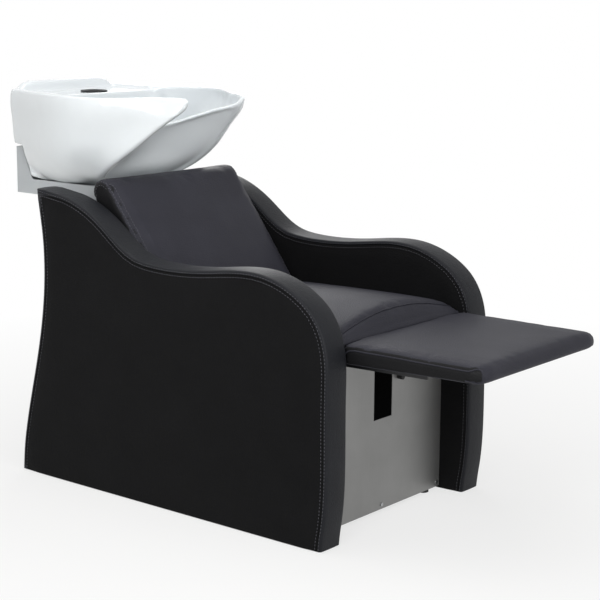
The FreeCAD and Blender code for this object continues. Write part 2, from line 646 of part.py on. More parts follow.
def leg_pad():
    half = size["footrest_width"] / 2
    corner = size["footrest_corner"]
    sections = []
    for across, crown, pull in stations(6, size["footrest_edge_share"]):
        past = max(0, (abs(across) * half - half + corner) / corner)
        sections.append(leg_pad_section(across * half, crown, pull, 1 - math.sqrt(1 - past ** 2)))
    gap, inset, thick = size["fit_gap"], size["footrest_board_inset"], size["footrest_board_thickness"]
    start, end = -size["footrest_reach"] + inset - gap, size["footrest_root"] - inset / 2 + gap
    below = size["overrun"]
    pocket = [(0, start, underside(start) - below), (0, end, underside(end) - below),
              (0, end, underside(end) + thick + gap), (0, start, underside(start) + thick + gap)]
    face = Part.Face(Part.makePolygon([Vector(*point) for point in pocket + pocket[:1]]))
    hollow = face.extrude(Vector(2 * (half - inset + gap), 0, 0))
    hollow.translate(Vector(inset - gap - half, 0, 0))
    return skin(sections).cut(hollow)


node(formed("leg_pad", leg_pad()), "leg_rest_pad")

tip_y = behind("0") + " - footrest_reach"
board_start, board_end = "footrest_board_inset", "(footrest_reach + footrest_root - footrest_board_inset / 2)"
board_half = "(footrest_width / 2 - footrest_board_inset)"
node(plate("leg_board", "YZ_Plane", [(board_start, under(board_start)), (board_end, under(board_end)),
                                     (board_end, under(board_end) + " + footrest_board_thickness"),
                                     (board_start, under(board_start) + " + footrest_board_thickness")],
           "2 * " + board_half, ("-" + board_half, tip_y, "0")), "leg_rest_board")

hinge_from_tip = "(footrest_reach + hinge_depth)"
arm_end = "(footrest_reach + footrest_root - arm_length)"
arm_neck = "(footrest_reach + hinge_depth - hinge_boss_radius + arm_gap)"
arm_outline = [(arm_end, under(arm_end) + " - arm_drop"),
               ("footrest_reach + hinge_depth", "footrest_base - arm_drop"),
               ("footrest_reach + hinge_depth + hinge_boss_radius", "footrest_base"),
               ("footrest_reach + hinge_depth + hinge_boss_radius", "hinge_height"),
               (arm_neck, "hinge_height"), (arm_neck, under(arm_neck)), (arm_end, under(arm_end))]
tab_near, tab_far = "(%s - tab_start)" % arm_neck, "(%s + arm_drop)" % arm_end
tab_outline = [(tab_far, under(tab_far) + " - tab_thickness"), (tab_near,
                                                                under(tab_near) + " - tab_thickness"),
               (tab_near, under(tab_near)), (tab_far, under(tab_far))]
boss = [(hinge_from_tip, "hinge_height", "hinge_boss_radius")]
bore = [(hinge_from_tip, "hinge_height", "hinge_pin_radius + running_gap")]
arm_outer = "(hinge_bracket_inner - arm_gap)"
arms = []
for side, hand in sides:
    near = "-" + arm_outer if side < 0 else "%s - bracket_thickness" % arm_outer
    tab_corner = "%s - bracket_thickness - tab_width" if side > 0 else "-%s + bracket_thickness"
    tab_near_x = tab_corner % arm_outer
    arm = plate("arm_" + hand, "YZ_Plane", arm_outline, "bracket_thickness", (near, tip_y, "0"), bore, boss)
    tab = plate("arm_tab_" + hand, "YZ_Plane", tab_outline, "tab_width", (tab_near_x, tip_y, "0"))
    arms.append(fuse("hinge_arm_" + hand, [arm, tab]))
node(group("hinge_arms", arms), "leg_rest_hinge_arms")

slope_turn = math.degrees(math.atan2(size["footrest_tip_base"] - size["footrest_base"],
                                     size["footrest_reach"] + size["footrest_root"]))
bolts = []
for side, hand in sides:
    for end, depth in (("far", tab_far + " + bolt_inset"), ("near", tab_near + " - bolt_inset")):
        bolt = hexagon("bolt_%s_%s" % (hand, end), ("0", "0", "0"), "bolt_radius", "bolt_head_height")
        place(bolt, ("%d * (%s - bracket_thickness - tab_width / 2)" % (side, arm_outer),
                     tip_y + " + " + depth, under(depth) + " - tab_thickness"),
              Rotation(Vector(1, 0, 0), 180 - slope_turn))
        bolts.append(bolt)
node(group("tab_bolts", bolts), "leg_rest_bolts")

lever_spot = "(footrest_reach + lever_pin_depth)"
slot_near = "(%s - lever_slot_shift)" % lever_spot
slot_far = "(%s + lever_slot_length)" % slot_near
slot_height = "(lever_pin_height + lever_slot_rise)"
lever_round = "(lever_slot_radius + lever_wall)"
foot_near, foot_far = "(%s - lever_foot_length / 2)" % lever_spot, "(footrest_reach + footrest_root)"
lever_near, lever_far = "%s - %s" % (slot_near, lever_round), "%s + %s" % (slot_far, lever_round)
lever_base = "%s - %s" % (slot_height, lever_round)
lever_outline = [(lever_near + " + lever_chamfer", lever_base), (lever_far + " - lever_chamfer", lever_base),
                 (lever_far, lever_base + " + lever_chamfer"), (foot_far, under(foot_far)),
                 (foot_near, under(foot_near)), (foot_near, under(foot_near) + " - tab_thickness"),
                 (lever_near, lever_base + " + lever_chamfer")]
levers = []
for side, hand in sides:
    near = "-lever_gap - lever_thickness" if side < 0 else "lever_gap"
    blank = plate("lever_" + hand, "YZ_Plane", lever_outline, "lever_thickness", (near, tip_y, "0"))
    wide = cylinder("lever_slot_a_" + hand, (near + " - overrun", tip_y + " + " + slot_near, slot_height),
                    "lever_slot_radius", "lever_thickness + 2 * overrun", "x")
    wide_end = cylinder("lever_slot_b_" + hand, (near + " - overrun", tip_y + " + " + slot_far, slot_height),
                        "lever_slot_radius", "lever_thickness + 2 * overrun", "x")
    between = box("lever_slot_c_" + hand, (near + " - overrun", tip_y + " + " + slot_near,
                                           slot_height + " - lever_slot_radius"),
                  ("lever_thickness + 2 * overrun", "lever_slot_length", "2 * lever_slot_radius"))
    foot = plate("lever_foot_" + hand, "YZ_Plane",
                 [(foot_near, under(foot_near) + " - tab_thickness"), (foot_far,
                                                                       under(foot_far) + " - tab_thickness"),
                  (foot_far, under(foot_far)), (foot_near, under(foot_near))], "tab_width / 2",
                 ("-lever_gap - tab_width / 2" if side < 0 else "lever_gap", tip_y, "0"))
    levers.append(fuse("slotted_lever_" + hand,
                       [cut("lever_cut_" + hand, blank, [wide, wide_end, between]), foot]))
node(group("levers", levers), "leg_rest_levers")

hinge_rod_half = "(hinge_bracket_inner + bracket_thickness + pin_overhang)"
node(cylinder("hinge_rod", ("-" + hinge_rod_half, behind("hinge_depth"), "hinge_height"), "hinge_pin_radius",
              "2 * " + hinge_rod_half, "x"), "leg_rest_hinge_rod")
bracket_outline = [("hinge_depth", "hinge_height - hinge_bracket_height / 2"),
                   ("front_rail_start", "hinge_height - hinge_bracket_height / 2"),
                   ("front_rail_start", "hinge_height + hinge_bracket_height / 2"),
                   ("hinge_depth", "hinge_height + hinge_bracket_height / 2")]
brackets = [plate("hinge_bracket_" + hand, "YZ_Plane", bracket_outline, "bracket_thickness",
                  ("-hinge_bracket_inner - bracket_thickness" if side < 0 else "hinge_bracket_inner",
                   behind("0"), "0"),
                  [("hinge_depth", "hinge_height", "hinge_pin_radius + running_gap")],
                  [("hinge_depth", "hinge_height", "hinge_bracket_height / 2")]) for side, hand in sides]
node(group("hinge_brackets", brackets), "leg_rest_hinge_brackets")


# Gas spring: its barrel turns on a pin under the seat, and its rod's cross pin works in the slotted lever.

spring_run = math.hypot(size["base_pin_depth"] - size["lever_pin_depth"],
                        size["base_pin_height"] - size["lever_pin_height"])
spring_turn = Rotation(Vector(1, 0, 0), math.degrees(math.atan2(
    size["base_pin_height"] - size["lever_pin_height"], size["base_pin_depth"] - size["lever_pin_depth"])))
spring_base = Vector(0, front + size["base_pin_depth"], size["base_pin_height"])


def along(radius, start, end):
    """A cylinder on the spring's axis between two distances from the base pin."""
    return Part.makeCylinder(radius, end - start, Vector(0, -start, 0), Vector(0, -1, 0))


def eye(distance, radius, half_width):
    return Part.makeCylinder(radius, 2 * half_width, Vector(-half_width, -distance, 0), Vector(1, 0, 0))


barrel_end = size["barrel_start"] + size["barrel_length"]
half_eye = size["eye_width"] / 2
gland_start = barrel_end - size["gland_length"]
barrel = along(size["barrel_radius"], size["barrel_start"], barrel_end)
barrel = barrel.fuse([along(size["rod_radius"] + size["barrel_wall"], 0, size["barrel_start"]),
                      eye(0, size["eye_radius"], half_eye)])
hollow_radius = size["barrel_radius"] - size["barrel_wall"]
barrel = barrel.cut([along(hollow_radius, size["barrel_start"] + 2 * size["barrel_wall"], gland_start),
                     along(size["rod_radius"] + size["running_gap"], gland_start - size["overrun"],
                           barrel_end + size["overrun"]),
                     eye(0, size["lever_pin_radius"] + size["running_gap"], half_eye + size["overrun"])])
node(formed("spring_barrel", barrel, spring_base, spring_turn), "gas_spring_barrel")

rod_start = barrel_end - size["rod_depth_in_barrel"]
pin_half = size["lever_gap"] + size["lever_thickness"] + size["pin_overhang"]
rod = along(size["rod_radius"], rod_start, spring_run).fuse([
    along(hollow_radius - size["fit_gap"], rod_start, rod_start + size["piston_length"]),
    eye(spring_run, size["eye_radius"], half_eye), eye(spring_run, size["lever_pin_radius"], pin_half)])
node(formed("spring_rod", rod, spring_base, spring_turn), "gas_spring_rod")

ear_inner = "(eye_width / 2 + ear_gap)"
ear_floor = "(seat_rail_top - tube_width)"
ear_round = "(eye_radius + ear_gap)"
ear_outline = [("base_pin_depth - %s" % ear_round, "base_pin_height"),
               ("base_pin_depth + %s" % ear_round, "base_pin_height"),
               ("base_pin_depth + %s" % ear_round, ear_floor), ("base_pin_depth - %s" % ear_round, ear_floor)]
ears = [plate("spring_ear_" + hand, "YZ_Plane", ear_outline, "ear_thickness",
              ("-%s - ear_thickness" % ear_inner if side < 0 else ear_inner, behind("0"), "0"),
              [("base_pin_depth", "base_pin_height", "lever_pin_radius + running_gap")],
              [("base_pin_depth", "base_pin_height", ear_round)]) for side, hand in sides]
bridge = box("spring_bridge", ("-tube_width", behind("mid_rail_start"), ear_floor + " - tab_thickness"),
             ("2 * tube_width", "tube_width", "tab_thickness"))
node(fuse("spring_bracket", ears + [bridge]), "gas_spring_bracket")
base_pin_half = "(%s + ear_thickness + pin_overhang)" % ear_inner
node(cylinder("spring_pin", ("-" + base_pin_half, behind("base_pin_depth"), "base_pin_height"),
              "lever_pin_radius",
              "2 * " + base_pin_half, "x"), "gas_spring_base_pin")


# Basin: a glazed ceramic bowl with two horns, a neck notch between them and a deck at the rear.

# Each row is a height's share of the bowl's full height, then shares of: the rear corner's half width and
# depth, the belly's half width and the depth of its widest point, the horn tip's half width and depth, the
# hollow front's depth. Depths are shares of the way from the horn tips to the rear.
bowl_shares = [
    (0.00, 0.70, 0.780, 0.60, 0.68, 1.00, 0.510, 0.535),
    (0.18, 0.92, 0.940, 0.82, 0.60, 1.62, 0.405, 0.440),
    (0.42, 0.98, 0.985, 0.920, 0.53, 1.56, 0.266, 0.375),
    (0.70, 0.99, 0.992, 0.970, 0.475, 1.27, 0.126, 0.320),
    (0.93, 1.00, 0.998, 0.995, 0.435, 0.98, 0.018, 0.235),
    (1.00, 0.985, 0.992, 0.985, 0.435, 0.90, 0.004, 0.225),
]


# Where the outline's in-between points lie, as shares of the way from one named place to the next, and how
# far the horn's side and tip move for each millimetre that the outline is drawn in.
hollow_shares, rear_flank_shares, fore_flank_shares = (0.62, 0.72), (0.78, 0.55), (0.55, 0.58)
nose_share, horn_inset_shares = 0.8, (0.25, 1.6)

# The bowl is drawn in short chords: how many points an outline's stretches and a rib up its wall have.
flank_points, nose_points, hollow_points, rib_points = 14, 4, 11, 10


def bowl_outline(height, shares, inset, rear_cap):
    """A horned outline at one height, drawn in by an inset and ending no further back than the cap."""
    rear_x, rear_y, side_x, side_y, tip_x, tip_y, hollow = shares
    horn = size["basin_horn_depth"]
    span = size["basin_rear"] - horn
    rear_half, rear = size["basin_rear_half_width"] * rear_x - inset, min(horn + span * rear_y - inset,
                                                                          rear_cap)
    side_half, side_depth = size["basin_half_width"] * side_x - inset, horn + span * side_y
    tip_half = size["basin_horn_spread"] * tip_x - horn_inset_shares[0] * inset
    tip = horn + span * tip_y + horn_inset_shares[1] * inset
    front_depth = horn + span * hollow + inset
    nose = size["horn_round"]

    def at(x, y):
        return (x, y, height)

    def between(first, last, shares):
        return at(*[low + (high - low) * share for low, high, share in zip(first, last, shares)])

    near, hollow_start = tip_half - nose, tip + nose
    nose_end = at(tip_half + nose, tip + nose_share * nose)
    shoulder = between((0, tip), (near, front_depth), hollow_shares)
    flank = smooth_curve([at(rear_half, rear),
                          between((rear_half, rear), (side_half, side_depth), rear_flank_shares),
                          at(side_half, side_depth),
                          between((side_half, side_depth), (tip_half, tip), fore_flank_shares), nose_end])
    horn_nose = Part.Arc(Vector(*nose_end), Vector(*at(tip_half, tip)), Vector(*at(near, hollow_start)))
    hollow_edge = smooth_curve([at(near, hollow_start), shoulder, at(0, front_depth),
                                at(-shoulder[0], shoulder[1]), at(-near, hollow_start)])
    half = flank.discretize(flank_points) + horn_nose.discretize(nose_points)[1:]
    middle = hollow_edge.discretize(hollow_points)[1:-1]
    return half + middle + [Vector(-spot.x, spot.y, spot.z) for spot in reversed(half)]


def bowl(base, top, inset, rear_cap):
    """The bowl's form between two heights: a fair curve runs up the wall at every point of its outline."""
    rim = size["basin_rim_height"]
    outlines = [bowl_outline(base + (rim - base) * row[0], row[1:], inset, rear_cap) for row in bowl_shares]
    ribs = []
    for column in zip(*outlines):
        ribs.append(smooth_curve(column).discretize(rib_points))
    rings = list(zip(*ribs))
    if top > rim:
        rings.append([spot + Vector(0, 0, top - rim) for spot in rings[-1]])
    return skin(rings)


# The notch's edge: shares of the horns' spread and of the rim's height over the notch.
notch_shares = [(0, 0), (0.38, 0.05), (0.66, 0.24), (0.90, 0.61), (1.03, 1.0), (1.06, 1.2)]
notch_points = 21


def notch():
    low, high = size["basin_notch_height"], size["basin_rim_height"]
    start, end = size["basin_horn_depth"] - size["overrun"], size["basin_deck_start"] - 2 * size["basin_wall"]
    right = [(size["basin_horn_spread"] * across, start, low + (high - low) * up) for across,
             up in notch_shares]
    left = [(-x, y, z) for x, y, z in right[:0:-1]]
    return facet(*smooth_curve(left + right).discretize(notch_points)).extrude(Vector(0, end - start, 0))


# The ledge's sloping end: shares of its half length and of its rise over the deck.
ledge_shares = [(1.0, 0), (0.95, 0.40), (0.84, 0.86), (0.72, 1.0)]


def basin():
    base, rim, wall = size["basin_base_height"], size["basin_rim_height"], size["basin_wall"]
    rear, deck_start, deck = size["basin_rear"], size["basin_deck_start"], size["basin_deck_height"]
    floor, over, ledge = size["basin_floor_height"], size["overrun"], size["basin_ledge_depth"]
    half = size["basin_rear_half_width"]
    outer = bowl(base, rim, 0, rear)
    rise = size["basin_ledge_height"] - deck
    left_end = [((half - wall) * across, rear - ledge - wall / 2, deck + rise * up)
                for across, up in ledge_shares]
    right_end = [(-x, y, z) for x, y, z in reversed(left_end)]
    backsplash = facet(*left_end + right_end).extrude(Vector(0, ledge, 0))
    long_edges = [edge
                  for edge in backsplash.Edges if edge.BoundBox.XLength > half and edge.BoundBox.ZMin > rim]
    backsplash = backsplash.makeFillet(wall / 2, long_edges)
    inner = bowl(floor, rim + over, wall, deck_start)
    deck_dip = Part.makeBox(2 * (half - wall), rear - ledge - wall / 2 - deck_start + wall, rim - deck + over,
                            Vector(wall - half, deck_start - wall, deck))
    hollow = bowl(floor, rim, wall, rear).common(
        Part.makeBox(2 * half, rear, deck - wall - base, Vector(-half, deck_start + wall, base)))
    recess_start = size["basin_recess_start"]
    recess = Part.makeBox(4 * half, rear, size["basin_skirt_height"] - base + over,
                          Vector(-2 * half, recess_start, base - over))
    mixer_hole = Part.makeCylinder(size["mixer_hole_radius"], deck - base,
                                   Vector(0, size["mixer_hole_depth"], deck - 2 * wall))
    drain = Part.makeCylinder(size["drain_radius"], floor - base + 2 * over,
                              Vector(0, size["drain_depth"], base - over))
    body = outer.cut([inner, deck_dip]).fuse(backsplash)
    return body.cut([hollow, recess, mixer_hole, drain, notch()])


node(formed("ceramic", basin()), "basin")

drain_spot = ("0", behind("drain_depth"))
nut_base = "(basin_base_height - tilt_plate_thickness - waste_nut_height)"
plug_height = "(basin_floor_height - %s)" % nut_base
plug = cylinder("strainer_tube", drain_spot + (nut_base,), "drain_radius - fit_gap", plug_height)
flange = cylinder("strainer_flange", drain_spot + ("basin_floor_height",),
                  "drain_radius + strainer_thickness",
                  "strainer_thickness")
spigot_radius = "(waste_pipe_radius - spigot_step)"
drain_bore = cylinder("strainer_bore", drain_spot + (nut_base + " - overrun",),
                      spigot_radius + " + running_gap",
                      plug_height + " + overrun - strainer_thickness")
# Half the length of the slots through the strainer, as shares of the pipe's radius.
sieve_shares = [(-1, 0.60), (0, 0.85), (1, 0.60)]
sieve_slots = [box("sieve_slot_%d" % index,
                   ("-waste_pipe_radius * %.2f" % share,
                    behind("drain_depth - sieve_slot_width / 2 + %d * sieve_slot_pitch" % index),
                    "basin_floor_height - strainer_thickness - overrun"),
                   ("2 * waste_pipe_radius * %.2f" % share, "sieve_slot_width",
                    "2 * strainer_thickness + 2 * overrun")) for index, share in sieve_shares]
node(cut("strainer", fuse("strainer_blank", [plug, flange]), [drain_bore] + sieve_slots), "drain_strainer")
nut = hexagon("nut_blank", drain_spot + (nut_base,), "waste_nut_radius", "waste_nut_height")
nut_bore = cylinder("nut_bore", drain_spot + (nut_base + " - overrun",),
                    "drain_radius - fit_gap + running_gap",
                    "waste_nut_height + 2 * overrun")
node(cut("nut_ring", nut, [nut_bore]), "waste_nut")
# The waste pipe's tail takes a hose; above the nut it steps in to a spigot inside the strainer's tube.
pipe_length = "basin_floor_height - strainer_thickness - waste_pipe_end - fit_gap"
tail = cylinder("pipe_tail", drain_spot + ("waste_pipe_end",), "waste_pipe_radius",
                nut_base + " - fit_gap - waste_pipe_end")
spigot = cylinder("pipe_spigot", drain_spot + ("waste_pipe_end",), spigot_radius, pipe_length)
pipe_bore = cylinder("pipe_inside", drain_spot + ("waste_pipe_end - overrun",),
                     spigot_radius + " - waste_pipe_wall", pipe_length + " + 2 * overrun")
node(cut("pipe_tube", fuse("pipe_blank", [tail, spigot]), [pipe_bore]), "waste_pipe")


# Tilt: a steel cradle under the bowl turns on a pin between two ears at the rear of the support housing.

cradle_base = "(basin_base_height - tilt_plate_thickness)"
cradle = box("cradle_plate", ("-tilt_arm_place", behind("tilt_plate_start"), cradle_base),
             ("2 * tilt_arm_place", "tilt_plate_end - tilt_plate_start", "tilt_plate_thickness"))
cradle_hole = cylinder("cradle_hole", drain_spot + (cradle_base + " - overrun",),
                       "drain_radius + running_gap", "tilt_plate_thickness + 2 * overrun")
tilt_outline = [("tilt_plate_start + tilt_boss_radius", cradle_base),
                ("tilt_arm_low + tilt_boss_radius", cradle_base),
                ("tilt_depth + tilt_boss_radius", "tilt_height"), ("tilt_depth - tilt_boss_radius",
                                                                   "tilt_height"),
                ("tilt_arm_low", "basin_base_height"), ("tilt_plate_start + tilt_boss_radius",
                                                        "basin_base_height")]
tilt_boss = [("tilt_depth", "tilt_height", "tilt_boss_radius")]
tilt_bore = [("tilt_depth", "tilt_height", "tilt_pin_radius + running_gap")]
cradle_arms = [plate("cradle_arm_" + hand, "YZ_Plane", tilt_outline, "tilt_plate_thickness",
                     ("-tilt_arm_place - tilt_plate_thickness" if side < 0 else "tilt_arm_place",
                      behind("0"), "0"),
                     tilt_bore, tilt_boss) for side, hand in sides]
node(fuse("cradle", [cut("cradle_floor", cradle, [cradle_hole])] + cradle_arms), "basin_tilt_cradle")
ear_start = "(tilt_arm_place + tilt_plate_thickness + tilt_ear_gap)"
housing_floor_top = "(console_height + housing_wall)"
tilt_ear_outline = [("tilt_depth - tilt_boss_radius", housing_floor_top),
                    ("tilt_depth + tilt_boss_radius", housing_floor_top),
                    ("tilt_depth + tilt_boss_radius", "tilt_height"), ("tilt_depth - tilt_boss_radius",
                                                                       "tilt_height")]
tilt_ears = [plate("tilt_ear_" + hand, "YZ_Plane", tilt_ear_outline, "tilt_ear_thickness",
                   ("-%s - tilt_ear_thickness" % ear_start if side < 0 else ear_start, behind("0"), "0"),
                   tilt_bore, tilt_boss) for side, hand in sides]
node(group("tilt_ears", tilt_ears), "basin_tilt_ears")
tilt_pin_half = "(%s + tilt_ear_thickness + pin_overhang)" % ear_start
node(cylinder("tilt_rod", ("-" + tilt_pin_half, behind("tilt_depth"), "tilt_height"), "tilt_pin_radius",
              "2 * " + tilt_pin_half, "x"), "basin_tilt_pin")

housing_floor = box("housing_floor", ("-housing_half_width", behind("housing_front"), "console_height"),
                    ("2 * housing_half_width", "housing_length", "housing_wall"))
housing_back = box("housing_back", ("-housing_half_width", behind("housing_rear - housing_wall"),
                                    "console_height"),
                   ("2 * housing_half_width", "housing_wall", "housing_rear_height - console_height"))
housing_fore = box("housing_fore", ("-housing_half_width", behind("housing_front"), "console_height"),
                   ("2 * housing_half_width", "housing_wall", "housing_wall_height - console_height"))
cheek_outline = [("0", "console_height"), ("housing_length", "console_height"),
                 ("housing_length", "housing_rear_height"),
                 ("tilt_depth - housing_front", "housing_rear_height"),
                 ("housing_slope_start - housing_front", "housing_wall_height"), ("0", "housing_wall_height")]
cheeks = [plate("housing_cheek_" + hand, "YZ_Plane", cheek_outline, "housing_wall",
                ("-housing_half_width" if side < 0 else "housing_half_width - housing_wall",
                 behind("housing_front"), "0")) for side, hand in sides]
housing_slot = box("housing_slot", ("-housing_slot_half_width", behind("housing_slot_start"),
                                    "console_height - overrun"),
                   ("2 * housing_slot_half_width", "housing_slot_end - housing_slot_start",
                    "housing_wall + 2 * overrun"))
stops = [box("rest_stop_" + hand, ("%d * rest_stop_place - rest_stop_width / 2" % side,
                                   behind("rest_stop_depth"), housing_floor_top),
             ("rest_stop_width", "rest_stop_width", "%s - fit_gap - %s" % (cradle_base, housing_floor_top)))
         for side, hand in sides]
node(group("rest_stops", stops), "basin_rest_stops")
node(cut("housing", fuse("housing_folded", [housing_floor, housing_back, housing_fore] + cheeks),
         [housing_slot]),
     "basin_support_housing")

doc.recompute()
failed = [thing.Name for thing in doc.Objects if "Invalid" in thing.State or "Error" in thing.State]
if failed:
    raise SystemExit("These objects failed: " + ", ".join(failed))
unsound = [part.Label for part in nodes
           if part.Shape.isNull() or not part.Shape.isValid() or part.Shape.Volume <= 0]
if unsound:
    raise SystemExit("These nodes have no sound shape: " + ", ".join(unsound))
os.makedirs("parts", exist_ok=True)
for part in nodes:
    part.Shape.exportStep("parts/%s.step" % part.Label)
    bound = part.Shape.BoundBox
    print("%-26s %d solids, %8.1f cm3, depth %7.1f to %7.1f" % (
        part.Label, len(part.Shape.Solids), part.Shape.Volume / 1000, bound.YMin - front, bound.YMax - front))
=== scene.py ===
import json
import math

import bmesh
import bpy
from mathutils import Matrix, Vector
from mathutils.bvhtree import BVHTree
from mathutils.kdtree import KDTree


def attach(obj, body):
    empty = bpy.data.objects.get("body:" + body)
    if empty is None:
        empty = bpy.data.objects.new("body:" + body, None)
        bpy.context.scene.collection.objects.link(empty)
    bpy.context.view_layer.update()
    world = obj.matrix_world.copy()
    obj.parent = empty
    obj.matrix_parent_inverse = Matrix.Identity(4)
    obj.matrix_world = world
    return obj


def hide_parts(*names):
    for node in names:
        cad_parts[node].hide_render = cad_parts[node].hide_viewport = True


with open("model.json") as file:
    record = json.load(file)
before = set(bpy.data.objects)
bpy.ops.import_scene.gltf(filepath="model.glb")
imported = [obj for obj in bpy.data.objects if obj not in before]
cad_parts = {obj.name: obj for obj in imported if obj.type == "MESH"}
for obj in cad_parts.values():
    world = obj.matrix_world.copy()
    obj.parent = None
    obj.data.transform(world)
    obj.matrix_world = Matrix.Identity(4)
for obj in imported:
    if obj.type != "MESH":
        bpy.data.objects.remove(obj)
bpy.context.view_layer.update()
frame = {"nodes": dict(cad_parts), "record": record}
nodes = frame["nodes"]

# Camera: stands at the sitter's right front, a little above the basin's rim, on a long lens.

photoCamera = {"place": (-3.0806, -2.5805, 1.2860), "azimuth": -50.92, "elevation": 11.16, "roll": 0.363,
               "lens": 96.23, "sensor": 36}


def addCamera(view):
    lens = bpy.data.cameras.new("photoCamera")
    lens.lens = view["lens"]
    lens.sensor_width = view["sensor"]
    lens.clip_end = 100
    camera = bpy.data.objects.new("photoCamera", lens)
    bpy.context.scene.collection.objects.link(camera)
    turn = Matrix.Rotation(math.radians(view["azimuth"]), 4, "Z")
    turn = turn @ Matrix.Rotation(math.radians(90 - view["elevation"]), 4, "X")
    turn = turn @ Matrix.Rotation(math.radians(view["roll"]), 4, "Z")
    camera.matrix_world = Matrix.Translation(view["place"]) @ turn
    bpy.context.scene.camera = camera


addCamera(photoCamera)


# Materials

def linear(hexColour):
    parts = [int(hexColour[start:start + 2], 16) / 255 for start in (1, 3, 5)]
    return [part / 12.92 if part <= 0.04045 else ((part + 0.055) / 1.055) ** 2.4 for part in parts] + [1]


def addNode(tree, kind, settings=None, links=None):
    made = tree.nodes.new("ShaderNode" + kind)
    for key, value in (settings or {}).items():
        if isinstance(key, int) or key in made.inputs:
            made.inputs[key].default_value = value
        else:
            setattr(made, key, value)
    for key, source in (links or {}).items():
        tree.links.new(source, made.inputs[key])
    return made


def startMaterial(name, settings):
    material = bpy.data.materials.new(name)
    material.use_nodes = True
    tree = material.node_tree
    shader = tree.nodes["Principled BSDF"]
    for key, value in settings.items():
        shader.inputs[key].default_value = value
    where = addNode(tree, "TexCoord").outputs["Object"]
    return material, tree, shader, where


def perMetre(millimetres):
    return 1000 / millimetres


def twoTone(tree, shader, factor, first, second):
    colours = addNode(tree, "MixRGB", {"Color1": linear(first), "Color2": linear(second)}, {"Fac": factor})
    tree.links.new(colours.outputs["Color"], shader.inputs["Base Color"])


def roughnessFrom(tree, shader, factor, low, high):
    spread = addNode(tree, "MapRange", {"To Min": low, "To Max": high}, {"Value": factor})
    tree.links.new(spread.outputs["Result"], shader.inputs["Roughness"])


def bumpFrom(tree, shader, height, distance, strength=1.0):
    bump = addNode(tree, "Bump", {"Strength": strength, "Distance": distance}, {"Height": height})
    tree.links.new(bump.outputs["Normal"], shader.inputs["Normal"])


# PVC leatherette, embossed with pebble grain on a calender: soft satin sheen broken up by small rounded cells.
leatherette = {
    # The pads' bluish grey is partly their own colour and partly painted sheen, lighter than the panels' black.
    "pad": {"dark": "#2a2a30", "light": "#34343b", "low": 0.46, "high": 0.58, "specular": 0.09, "sheen": 0.0},
    # The cushions' sides take this darker copy, chosen by the way each face turns: painted shade, against the
    # painted sheen of their tops and fronts.
    "shadedBoxing": {"dark": "#0e0e0f", "light": "#141416", "low": 0.50, "high": 0.62, "specular": 0.14, "sheen": 0.0},
    "panel": {"dark": "#0d0d0e", "light": "#131314", "low": 0.56, "high": 0.68, "specular": 0.07, "sheen": 0.0},
    # The band is a lighter copy of the panels' leatherette: the lighter tone is painted sheen, for the light on its
    # top and front curve.
    "band": {"dark": "#16171a", "light": "#1d1e22", "low": 0.42, "high": 0.54, "specular": 0.14, "sheen": 0.01},
    "sheenRoughness": 0.4, "sheenTint": "#b9bcd6",
    "grain": 3.2, "grainDepth": 0.0006, "crease": 12.8, "tone": 90, "handling": 240,
}


def leatheretteMaterial(name, tone):
    material, tree, shader, where = startMaterial(name, {
        "Specular IOR Level": tone["specular"], "Sheen Weight": tone["sheen"],
        "Sheen Roughness": leatherette["sheenRoughness"], "Sheen Tint": linear(leatherette["sheenTint"])})
    # The real pebbles are about 1 mm wide; they are drawn 3 mm wide so that they show in the render.
    pebbles = addNode(tree, "TexVoronoi", {"feature": "F1", "Scale": perMetre(leatherette["grain"]),
                                           "Randomness": 0.9}, {"Vector": where})
    creases = addNode(tree, "TexNoise", {"Scale": perMetre(leatherette["crease"]), "Detail": 5.0,
                                         "Roughness": 0.6}, {"Vector": where})
    clouds = addNode(tree, "TexNoise", {"Scale": perMetre(leatherette["tone"]), "Detail": 3.0},
                     {"Vector": where})
    handled = addNode(tree, "TexNoise", {"Scale": perMetre(leatherette["handling"]), "Detail": 2.0},
                      {"Vector": where})
    height = addNode(tree, "Math", {"operation": "MULTIPLY_ADD", 1: -1.0},
                     {0: pebbles.outputs["Distance"], 2: creases.outputs["Fac"]})
    twoTone(tree, shader, clouds.outputs["Fac"], tone["dark"], tone["light"])
    roughnessFrom(tree, shader, handled.outputs["Fac"], tone["low"], tone["high"])
    bumpFrom(tree, shader, height.outputs["Value"], leatherette["grainDepth"])
    return material


# Bonded polyester thread: hard, twisted and a little shiny. Its grey, lighter than the leatherette, is partly its
# own colour and partly painted highlight, so that a row of stitches shows as a light line.
sewingThread = {"dark": "#2e2e33", "light": "#4a4a51", "low": 0.35, "high": 0.5, "twist": 6, "depth": 0.0003}


def threadMaterial():
    material, tree, shader, where = startMaterial("bondedThreadWithPaintedHighlight", {"Specular IOR Level": 0.5})
    twist = addNode(tree, "TexWave", {"Scale": perMetre(sewingThread["twist"]), "Distortion": 1.0},
                    {"Vector": where})
    twoTone(tree, shader, twist.outputs["Fac"], sewingThread["dark"], sewingThread["light"])
    roughnessFrom(tree, shader, twist.outputs["Fac"], sewingThread["low"], sewingThread["high"])
    bumpFrom(tree, shader, twist.outputs["Fac"], sewingThread["depth"])
    return material


# Vitreous china under a fired clear glaze: near white, mirror smooth, with a faint waviness from dipping.
glaze = {"dark": "#d9dee1", "light": "#e4e8ea", "low": 0.10, "high": 0.18, "coat": 0.5, "coatRoughness": 0.04,
         "flow": 45, "body": 180, "depth": 0.0002, "strength": 0.35}


